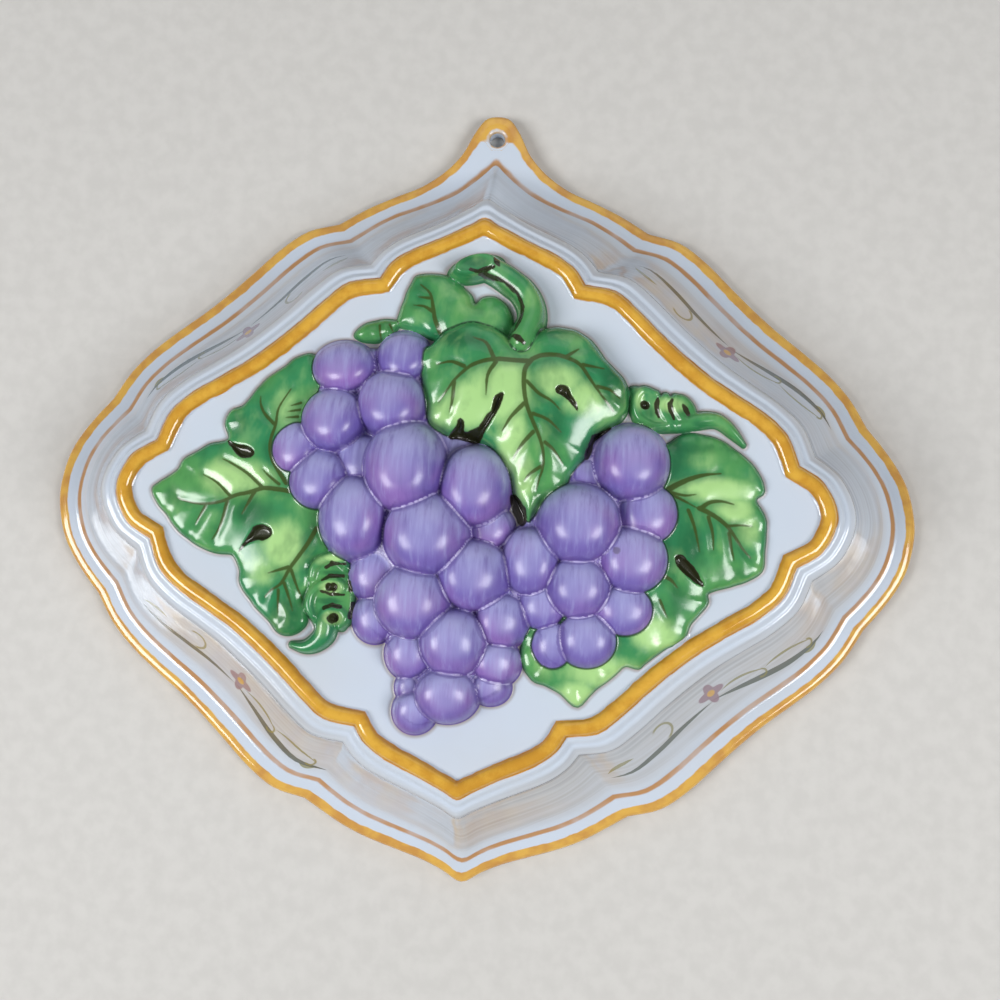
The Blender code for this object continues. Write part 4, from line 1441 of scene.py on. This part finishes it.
def add_panel(parts, ring):
    """The panel and its relief, inside the band's inner ring, whose points come first."""
    across, up = lattice()
    height, layers = relief_layers(across, up)
    fine = widened(off_surface(height, 2) > FINEST_ERROR)
    fine = fine | ((layers["vein"] < VEIN_FINE) & (layers["on_leaf"] > 0))
    middle = widened(off_surface(height, 4) > MIDDLE_ERROR)
    kept = fine | (middle & on_level(height.shape, 2)) | on_level(height.shape, 4)
    inside = from_outline(across[kept], up[kept], ring)[0] > EDGE_MARGIN
    x, y, z = (values[kept][inside] for values in (across, up, height))
    values = {name: layer[kept][inside] for name, layer in layers.items()}
    parts.fill_ring(ring, 0, list(zip(x, y, PANEL_RISE + z)), band=FAR, **values)


def add_ceiling(parts, ring, first_of_ring):
    """The cavity's ceiling with its soft hollow behind each bunch."""
    counts = [int(2 * half / CEILING_STEP) for half in half_panel]
    rows, columns = np.indices((counts[1], counts[0]))
    across = (-half_panel[0] + (columns + 0.5 * (rows % 2)) * CEILING_STEP).ravel()
    up = (-half_panel[1] + rows * CEILING_STEP).ravel()
    inside = from_outline(across, up, ring)[0] > CEILING_STEP / 2
    across, up = across[inside], up[inside]
    height = np.full(across.shape, ceiling)
    for x, y, half_width, half_height, rise in MOUNDS:
        hollow = (x, y, half_width - WALL, half_height - WALL, rise)
        height = np.maximum(height, ceiling + mound_height(across, up, hollow))
    parts.fill_ring(ring, first_of_ring, list(zip(across, up, height)), downward=True,
                    inside=1.0, edge=-FAR)


def boundary_loop(faces):
    """The closed loop of edges that bounds a patch of faces, in the faces' order."""
    pairs = {pair for face in faces for pair in zip(face, face[1:] + face[:1])}
    following = {a: b for a, b in pairs if (b, a) not in pairs}
    start = next(iter(following))
    loop = [start]
    while following[loop[-1]] != start:
        loop.append(following[loop[-1]])
    return loop


def near_hole(parts, face):
    """Whether a face lies near the hanging hole on a flat side of the lug."""
    corners = [parts.points[index] for index in face]
    level = {round(corner[2], LEVEL_DIGITS) for corner in corners}
    if level not in ({RIM_THICKNESS}, {0.0}):
        return False
    return math.dist(middle_of(corners), hole_centre) < HOLE_CLEARING


def add_lug_hole(parts):
    """The glazed hole through the lug, with its softly rounded lips."""
    removed = [face for face in parts.faces if near_hole(parts, face)]
    parts.faces = [face for face in parts.faces if not near_hole(parts, face)]
    turns = [math.tau * side / HOLE_SIDES for side in range(HOLE_SIDES)]
    circles = []
    for level, direction in ((RIM_THICKNESS, -1), (0.0, 1)):
        loop = boundary_loop([face for face in removed
                              if round(parts.points[face[0]][2], LEVEL_DIGITS) == level])
        if direction > 0:
            loop = loop[::-1]
        firsts = []
        for grown, drop in HOLE_LIP:
            radius = HOLE_RADIUS + grown
            circle = [(hole_centre[0] + radius * math.cos(turn),
                       hole_centre[1] + radius * math.sin(turn), level + direction * drop)
                      for turn in turns]
            firsts.append(parts.add_points(circle, edge=FLANGE_WIDTH / 2 if level else -FAR))
        named = loop + list(range(firsts[0], firsts[0] + HOLE_SIDES))
        places = [parts.points[index][:2] for index in named]
        for face in filled(places[:len(loop)], [], places[len(loop):]):
            parts.faces.append(tuple(named[index] for index in face[::-direction]))
        circles.append(firsts)
    join_rings(parts, circles[0] + circles[1][::-1], HOLE_SIDES)


def join_rings(parts, firsts, count):
    """The faces between each ring of points and the next, from their first indices."""
    for inner, outer in zip(firsts, firsts[1:]):
        for (a, b), (c, d) in zip(closed_edges(inner, count), closed_edges(outer, count)):
            parts.faces.append((a, b, d, c))


def add_shell(parts):
    """Every row of the shell, joined to the next. Gives the first and the last ring, and
    the index of the last one's first point."""
    rows = shell_rows()
    side, on_long_side = side_places()
    firsts = []
    for ring, height, edge, band, climb in rows:
        points = [(x, y, height) for x, y in ring]
        firsts.append(parts.add_points(points, edge=edge, band=band, climb=climb, side=side,
                                       long_side=on_long_side, inside=float(edge <= -FAR)))
    join_rings(parts, firsts, len(side))
    return rows[0][0], rows[-1][0], firsts[-1]


def build_mold():
    """The whole casting as one closed mesh with its painted values."""
    parts = MeshParts()
    panel_ring, ceiling_ring, first_of_ceiling = add_shell(parts)
    add_lug_hole(parts)
    add_panel(parts, panel_ring)
    add_ceiling(parts, ceiling_ring, first_of_ceiling)

    mesh = bpy.data.meshes.new("jelly_mold_glazed")
    places = [(x * MM, (y - centre_height) * MM, z * MM) for x, y, z in parts.points]
    mesh.from_pydata(places, [], parts.faces)
    mesh.validate()
    mesh.shade_smooth()
    for name, values in parts.values.items():
        layer = mesh.attributes.new(name, "FLOAT", "POINT")
        layer.data.foreach_set("value", np.array(values, dtype=np.float32))
    mold = bpy.data.objects.new("jelly_mold_glazed", mesh)
    bpy.context.scene.collection.objects.link(mold)
    return mold


# Materials

def colour(red, green, blue):
    """A screen colour from 0 to 255 as the shader's linear colour."""
    linear = []
    for part in (red, green, blue):
        share = part / 255
        linear.append(share / 12.92 if share <= 0.04045 else ((share + 0.055) / 1.055) ** 2.4)
    return (*linear, 1.0)


class Nodes:
    """A material, and short ways to make its nodes."""

    def __init__(self, name):
        self.material = bpy.data.materials.new(name)
        self.material.use_nodes = True
        self.tree = self.material.node_tree
        self.shader = self.tree.nodes["Principled BSDF"]

    def link(self, source, socket):
        self.tree.links.new(source, socket)

    def put(self, socket, value):
        """Links a socket to another, or sets its value."""
        if isinstance(value, bpy.types.NodeSocket):
            self.link(value, socket)
        else:
            socket.default_value = value

    def value(self, name):
        """A painted value of the mesh."""
        node = self.tree.nodes.new("ShaderNodeAttribute")
        node.attribute_name = name
        return node.outputs["Fac"]

    def math(self, operation, first, second=0.0, third=0.0):
        node = self.tree.nodes.new("ShaderNodeMath")
        node.operation = operation
        for socket, value in zip(node.inputs, (first, second, third)):
            self.put(socket, value)
        return node.outputs[0]

    def times(self, first, second):
        return self.math("MULTIPLY", first, second)

    def plus(self, first, second):
        return self.math("ADD", first, second)

    def scaled(self, value, factor, added):
        return self.math("MULTIPLY_ADD", value, factor, added)

    def wander(self, noise, width):
        """A noise as a length of a whole width that wanders about nothing."""
        return self.scaled(noise, width, -width / 2)

    def gap(self, first, second):
        """How far two values lie apart."""
        return self.math("ABSOLUTE", self.math("SUBTRACT", first, second))

    def ramp(self, value, low, high, start=0.0, end=1.0):
        """A soft step of a value from low to high."""
        node = self.tree.nodes.new("ShaderNodeMapRange")
        node.interpolation_type = "SMOOTHSTEP"
        for name, given in (("Value", value), ("From Min", low), ("From Max", high),
                            ("To Min", start), ("To Max", end)):
            self.put(node.inputs[name], given)
        return node.outputs[0]

    def step(self, value, name):
        """One of the paint's soft steps."""
        return self.ramp(value, *STEPS_OF_PAINT[name])

    def mix(self, share, first, second):
        """A colour part of the way from the first to the second."""
        node = self.tree.nodes.new("ShaderNodeMix")
        node.data_type = "RGBA"
        self.put(node.inputs[0], share)
        for socket, paint in zip(node.inputs[6:8], (first, second)):
            self.put(socket, colour(*paint) if isinstance(paint, tuple) else paint)
        return node.outputs[2]

    def tint(self, under, value, name, paint):
        """A paint over another, as strong as one of the soft steps of a value."""
        return self.mix(self.step(value, name), under, paint)

    def noise_of(self, scale, detail, stretch=(1.0, 1.0, 1.0), roughness=0.5):
        """Noise over the object, with its scale in waves a metre."""
        place = self.tree.nodes.new("ShaderNodeTexCoord").outputs["Object"]
        mapping = self.tree.nodes.new("ShaderNodeMapping")
        self.put(mapping.inputs["Scale"], stretch)
        self.link(place, mapping.inputs["Vector"])
        node = self.tree.nodes.new("ShaderNodeTexNoise")
        self.link(mapping.outputs[0], node.inputs["Vector"])
        self.put(node.inputs["Scale"], scale)
        self.put(node.inputs["Detail"], detail)
        self.put(node.inputs["Roughness"], roughness)
        return node.outputs["Fac"]

    def noise(self, name):
        """One of the paint's noises."""
        return self.noise_of(*NOISES[name])


def paint_porcelain(nodes):
    """The bluish white body, a little warmer and greyer in places."""
    return nodes.tint(WHITE, nodes.noise("cloud"), "cloud", WARM_WHITE)


def paint_skirt_shade(nodes, under):
    """The flared skirt, warmer and greyer than the panel, in soft streaks along it."""
    climb = nodes.value("climb")
    band = nodes.value("band")
    streak = nodes.tree.nodes.new("ShaderNodeTexNoise")
    streak.noise_dimensions = "1D"
    nodes.link(nodes.scaled(nodes.noise("skirt drift"), SKIRT_DRIFT, climb), streak.inputs["W"])
    nodes.put(streak.inputs["Scale"], SKIRT_STREAKS[0])
    nodes.put(streak.inputs["Detail"], SKIRT_STREAKS[1])
    # Painted shade and reflection: grey streaks and patches over the skirt
    grey = nodes.tint(SKIRT_PALE_SHADE, streak.outputs["Fac"], "skirt shade streak", SKIRT_DEEP_SHADE)
    mask = nodes.times(nodes.step(climb, "skirt foot"), nodes.step(band, "skirt top"))
    patch = nodes.step(nodes.noise("skirt shade patch"), "skirt shade patch")
    result = nodes.mix(nodes.times(mask, patch), under, grey)
    place = nodes.scaled(nodes.noise("skirt step shade"), SKIRT_LINE_DRIFT, band)
    # Thin lines of painted shade along the skirt's steps, just outside the band
    for middle, strength, scale in SKIRT_LINES:
        fading = nodes.noise_of(scale, SKIRT_LINE_DETAIL)
        thick = nodes.ramp(fading, *SKIRT_LINE_FADE, 0.0, strength)
        line = nodes.times(nodes.step(nodes.gap(place, middle), "skirt step shade"), thick)
        result = nodes.mix(line, result, SKIRT_STEP_SHADE)
    return result


def paint_band(nodes, under):
    """The ochre band round the panel, brushed a little unevenly, with painted shade along its
    rounded edges.
    """
    place = nodes.plus(nodes.value("band"), nodes.wander(nodes.noise("band edge"), BAND_WANDER))
    mask = nodes.times(nodes.step(place, "band inner edge"), nodes.step(place, "band outer edge"))
    paint = nodes.tint(OCHRE, nodes.noise("band brush"), "gold brush", OCHRE_PALE)
    # Painted shade along both rounded edges of the band
    rims = nodes.plus(nodes.step(place, "band outer rim shade"), nodes.step(place, "band inner rim shade"))
    paint = nodes.mix(nodes.times(rims, BAND_RIM_STRENGTH), paint, OCHRE_RIM_SHADE)
    return nodes.mix(mask, under, paint)


def paint_rim(nodes, under):
    """The gold edge of the rim and the fine line inside it."""
    edge = nodes.value("edge")
    wander = nodes.wander(nodes.noise("rim edge"), RIM_WANDER)
    place = nodes.plus(edge, wander)
    mask = nodes.times(nodes.step(place, "rim inner edge"), nodes.step(place, "rim outer edge"))
    paint = nodes.tint(GOLD, nodes.noise("rim brush"), "gold brush", OCHRE_PALE)
    result = nodes.mix(nodes.times(mask, RIM_STRENGTH), under, paint)
    away = nodes.gap(nodes.scaled(wander, FINE_LINE_WANDER, edge), FINE_LINE_PLACE)
    wear = nodes.step(nodes.noise("fine line"), "fine line wear")
    return nodes.mix(nodes.times(nodes.step(away, "fine line"), wear), result, FINE_LINE)


def stroke(nodes, side, climb, start, end, low, bend, width):
    """A curved brush stroke along the skirt, thin at both ends.

    It runs from start to end along the side, at the height low with a slope and
    a bow that bend gives.
    """
    share = nodes.times(nodes.math("SUBTRACT", side, (start + end) / 2), 2 / (end - start))
    square = nodes.times(share, share)
    line = nodes.scaled(square, bend[1], nodes.scaled(share, bend[0], low))
    taper = nodes.times(nodes.math("SUBTRACT", 1.0, square), width)
    return nodes.step(nodes.math("SUBTRACT", nodes.gap(climb, line), taper), "stroke edge")


def round_place(nodes, side, climb, place, height):
    """How far out a point of the skirt lies from a place on it, and in which turn."""
    across = nodes.math("SUBTRACT", side, place)
    above = nodes.scaled(climb, SKIRT_STRETCH, -height * SKIRT_STRETCH)
    square = nodes.plus(nodes.times(across, across), nodes.times(above, above))
    return nodes.math("SQRT", square), nodes.math("ARCTAN2", above, across)


def paint_flower(nodes, side, climb, under):
    """The sprig's flower, of four petals round a yellow heart."""
    place, height, reach = FLOWER
    out, turn = round_place(nodes, side, climb, place, height)
    wave = nodes.math("COSINE", nodes.times(turn, 2.0))
    lobes = nodes.scaled(nodes.times(wave, wave), FLOWER_LOBES * reach,
                         (1 - FLOWER_LOBES) * reach)
    result = nodes.tint(under, nodes.math("SUBTRACT", out, lobes), "petal edge", PETAL)
    return nodes.tint(result, out, "petal heart", PETAL_HEART)


def paint_sprigs(nodes, under):
    """The small painted sprig on each long side of the skirt."""
    side = nodes.value("side")
    climb = nodes.value("climb")
    result = under
    for strokes, paint, strength in ((SPRIG_CURLS, SPRIG_OLIVE, CURL_STRENGTH),
                                     (SPRIG_STEMS, SPRIG_TEAL, STEM_STRENGTH)):
        for drawn in strokes:
            mask = stroke(nodes, side, climb, *drawn)
            result = nodes.mix(nodes.times(mask, strength), result, paint)
    for place, height, radius, width, opening in SPRIG_RINGS:
        out, turn = round_place(nodes, side, climb, place, height)
        ring = nodes.math("SUBTRACT", nodes.gap(out, radius), width)
        facing = nodes.math("COSINE", nodes.math("SUBTRACT", turn, opening))
        mask = nodes.times(nodes.step(ring, "ring edge"), nodes.step(facing, "ring gap"))
        result = nodes.mix(mask, result, SPRIG_OLIVE)
    result = paint_flower(nodes, side, climb, result)
    return nodes.tint(under, nodes.value("long_side"), "long side", result)


def paint_foot_shadow(nodes, under):
    """A thin grey-brown painted shadow on the panel round the relief's foot."""
    return nodes.tint(under, nodes.value("foot"), "halo", FOOT_SHADOW_GREY)


def paint_leaves(nodes, under):
    """Greens brushed from emerald to pale yellow-green, with olive veins and painted shade
    darkening their foot.
    """
    brush = nodes.noise("leaf brush")
    streak = nodes.noise("leaf streak")
    uneven = nodes.wander(brush, LEAF_UNEVEN)
    pale = nodes.plus(uneven, nodes.value("pale"))
    deep = nodes.plus(uneven, nodes.value("deep"))
    green = nodes.tint(EMERALD, nodes.noise("leaf patch"), "leaf patch", LEAF_GREEN)
    for value, name, paint in ((brush, "leaf brush", EMERALD_DARK_AND_SHADE),
                               (pale, "pale patch", PALE_GREEN),
                               (deep, "deep patch", EMERALD_DARK_AND_SHADE),
                               (streak, "deep streak", EMERALD_DARK_AND_SHADE),
                               (streak, "pale streak", PALE_GREEN)):
        green = nodes.tint(green, value, name, paint)
    on_leaf = nodes.step(nodes.value("on_leaf"), "leaf edge")
    vein = nodes.value("vein")
    beside = nodes.times(nodes.step(vein, "beside vein"), on_leaf)
    green = nodes.mix(beside, green, EMERALD_DARK_AND_SHADE)
    # Painted shade: deeper emerald low down, where the greens meet the panel
    green = nodes.tint(green, nodes.value("foot"), "leaf foot shade", EMERALD_DARK_AND_SHADE)
    line = nodes.step(nodes.scaled(nodes.noise("vein edge"), VEIN_WANDER, vein), "vein edge")
    green = nodes.mix(nodes.times(line, on_leaf), green, OLIVE)
    green = nodes.tint(green, nodes.value("fold"), "fold", BORDER_GREEN)
    return nodes.tint(under, nodes.value("green"), "relief edge", green)


def paint_grapes(nodes, under):
    """Purple with paler bluish tops and upright brush marks; painted sheen in each grape's middle,
    painted shade in the creases and at the foot, and a painted highlight along the creases.
    """
    brush = nodes.noise("grape brush")
    crease = nodes.value("crease")
    top = nodes.plus(nodes.wander(brush, STROKE_STRENGTH), nodes.value("grape_up"))
    paint = nodes.tint(GRAPE, nodes.noise("grape patch"), "grape patch", GRAPE_PINK)
    for value, name, tone in ((top, "grape top", GRAPE_PALE_AND_SHEEN),
                              (brush, "pale stroke", GRAPE_PALE_AND_SHEEN),
                              (brush, "deep stroke", GRAPE_DEEP_AND_SHADE),
                              # Painted sheen: paler in the middle of each grape
                              (nodes.value("grape_out"), "grape middle sheen", GRAPE_PALE_AND_SHEEN),
                              # Painted shade: deep purple in and beside the creases between grapes
                              (crease, "crease shade", GRAPE_DEEP_AND_SHADE),
                              (crease, "crease deep shade", GRAPE_DEEP_AND_SHADE)):
        paint = nodes.tint(paint, value, name, tone)
    # A painted highlight: a thin pale line along each crease between grapes, broken in places
    wear = nodes.step(nodes.noise("crease highlight"), "crease highlight breaks")
    paint = nodes.mix(nodes.times(nodes.step(crease, "crease highlight"), wear), paint, CREASE_HIGHLIGHT)
    speck = nodes.scaled(nodes.noise("speck edge"), SPECK_WANDER, nodes.value("speck"))
    speck = nodes.ramp(speck, SPECK[3], SPECK[3] + SPECK_SOFT[0], SPECK_SOFT[1], 0.0)
    paint = nodes.mix(speck, paint, SPECK_GREY)
    # Painted shade: deeper purple low down, where the grapes meet the panel
    paint = nodes.tint(paint, nodes.value("foot"), "grape foot shade", GRAPE_DEEP_AND_SHADE)
    return nodes.tint(under, nodes.value("grape"), "relief edge", paint)


def paint_dark(nodes, under):
    """Brown-black brush marks in the holes and gaps."""
    dark = nodes.plus(nodes.value("dark"), nodes.wander(nodes.noise("dark edge"), DARK_WANDER))
    result = nodes.tint(under, nodes.value("border"), "border", BORDER_GREEN)
    return nodes.tint(result, dark, "dark edge", DARK_BROWN)


def glazed_porcelain():
    """One glaze over the white body and all its painting."""
    nodes = Nodes("glazed_painted_porcelain")
    base = paint_porcelain(nodes)
    for paint in (paint_skirt_shade, paint_band, paint_rim, paint_sprigs, paint_foot_shadow, paint_leaves,
                  paint_grapes, paint_dark):
        base = paint(nodes, base)
    nodes.link(base, nodes.shader.inputs["Base Color"])

    grape = nodes.step(nodes.value("grape"), "relief edge")
    green = nodes.step(nodes.value("green"), "relief edge")
    dull_foot = nodes.step(nodes.gap(nodes.value("foot"), -FOOT_MIDDLE), "dull foot")
    rough = nodes.plus(dull_foot, nodes.step(nodes.noise("worn glaze"), "worn glaze"))
    for value, added in ((grape, GRAPE_DULL), (green, GREEN_DULL),
                         (nodes.value("inside"), INSIDE_DULL)):
        rough = nodes.scaled(value, added, rough)
    nodes.link(rough, nodes.shader.inputs["Roughness"])
    for name, value in GLAZE.items():
        nodes.put(nodes.shader.inputs[name], value)

    bump = nodes.tree.nodes.new("ShaderNodeBump")
    for name, value in GLAZE_BUMP.items():
        nodes.put(bump.inputs[name], value)
    ridges = nodes.times(nodes.noise("grape ridges"), grape)
    wave = nodes.scaled(nodes.noise("glaze wave"), GLAZE_WAVE_WEIGHT, ridges)
    nodes.link(wave, bump.inputs["Height"])
    nodes.link(bump.outputs["Normal"], nodes.shader.inputs["Normal"])
    return nodes.material


def floor_finish():
    """A pale matt studio floor."""
    nodes = Nodes("pale_floor")
    tone = nodes.tint(FLOOR_SHADE, nodes.noise("floor grain"), "floor grain", FLOOR_PALE)
    nodes.link(tone, nodes.shader.inputs["Base Color"])
    nodes.put(nodes.shader.inputs["Roughness"], FLOOR_ROUGHNESS)
    return nodes.material


# The stage

def make_floor():
    """A plain pale floor under the mold."""
    bpy.ops.mesh.primitive_plane_add(size=FLOOR_SIZE, location=(0, 0, 0))
    floor = bpy.context.object
    floor.name = "studio_floor"
    floor.data.materials.append(floor_finish())


def make_light(name, place, size, power):
    """A soft square light that faces the mold."""
    data = bpy.data.lights.new(name, "AREA")
    data.shape = "SQUARE"
    data.size = size
    data.energy = power
    light = bpy.data.objects.new(name, data)
    light.location = place
    direction = Vector(LIGHT_AIM) - Vector(place)
    light.rotation_euler = direction.to_track_quat("-Z", "Y").to_euler()
    bpy.context.scene.collection.objects.link(light)


def make_sky():
    """A soft even sky."""
    world = bpy.data.worlds.new("studio")
    world.use_nodes = True
    background = world.node_tree.nodes["Background"]
    background.inputs["Color"].default_value = SKY_COLOUR
    background.inputs["Strength"].default_value = SKY_STRENGTH
    bpy.context.scene.world = world


def make_camera():
    """The camera at the photograph's place and angle."""
    data = bpy.data.cameras.new("photo_camera")
    data.sensor_width = SENSOR
    data.lens = SENSOR * FOCAL_PIXELS / FRAME_PIXELS
    data.clip_start = NEAREST_VIEW
    camera = bpy.data.objects.new("photo_camera", data)
    camera.location = [value * MM for value in CAMERA_PLACE]
    camera.rotation_euler = camera_turn
    bpy.context.scene.collection.objects.link(camera)
    bpy.context.scene.camera = camera


make_camera()
mold = build_mold()
mold.data.materials.append(glazed_porcelain())
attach(mold, "root")
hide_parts("jelly_mold")
make_floor()
for light in LIGHTS:
    make_light(*light)
make_sky()

# The painted colours are shown as they are, with no film curve over them
bpy.context.scene.view_settings.view_transform = "Standard"
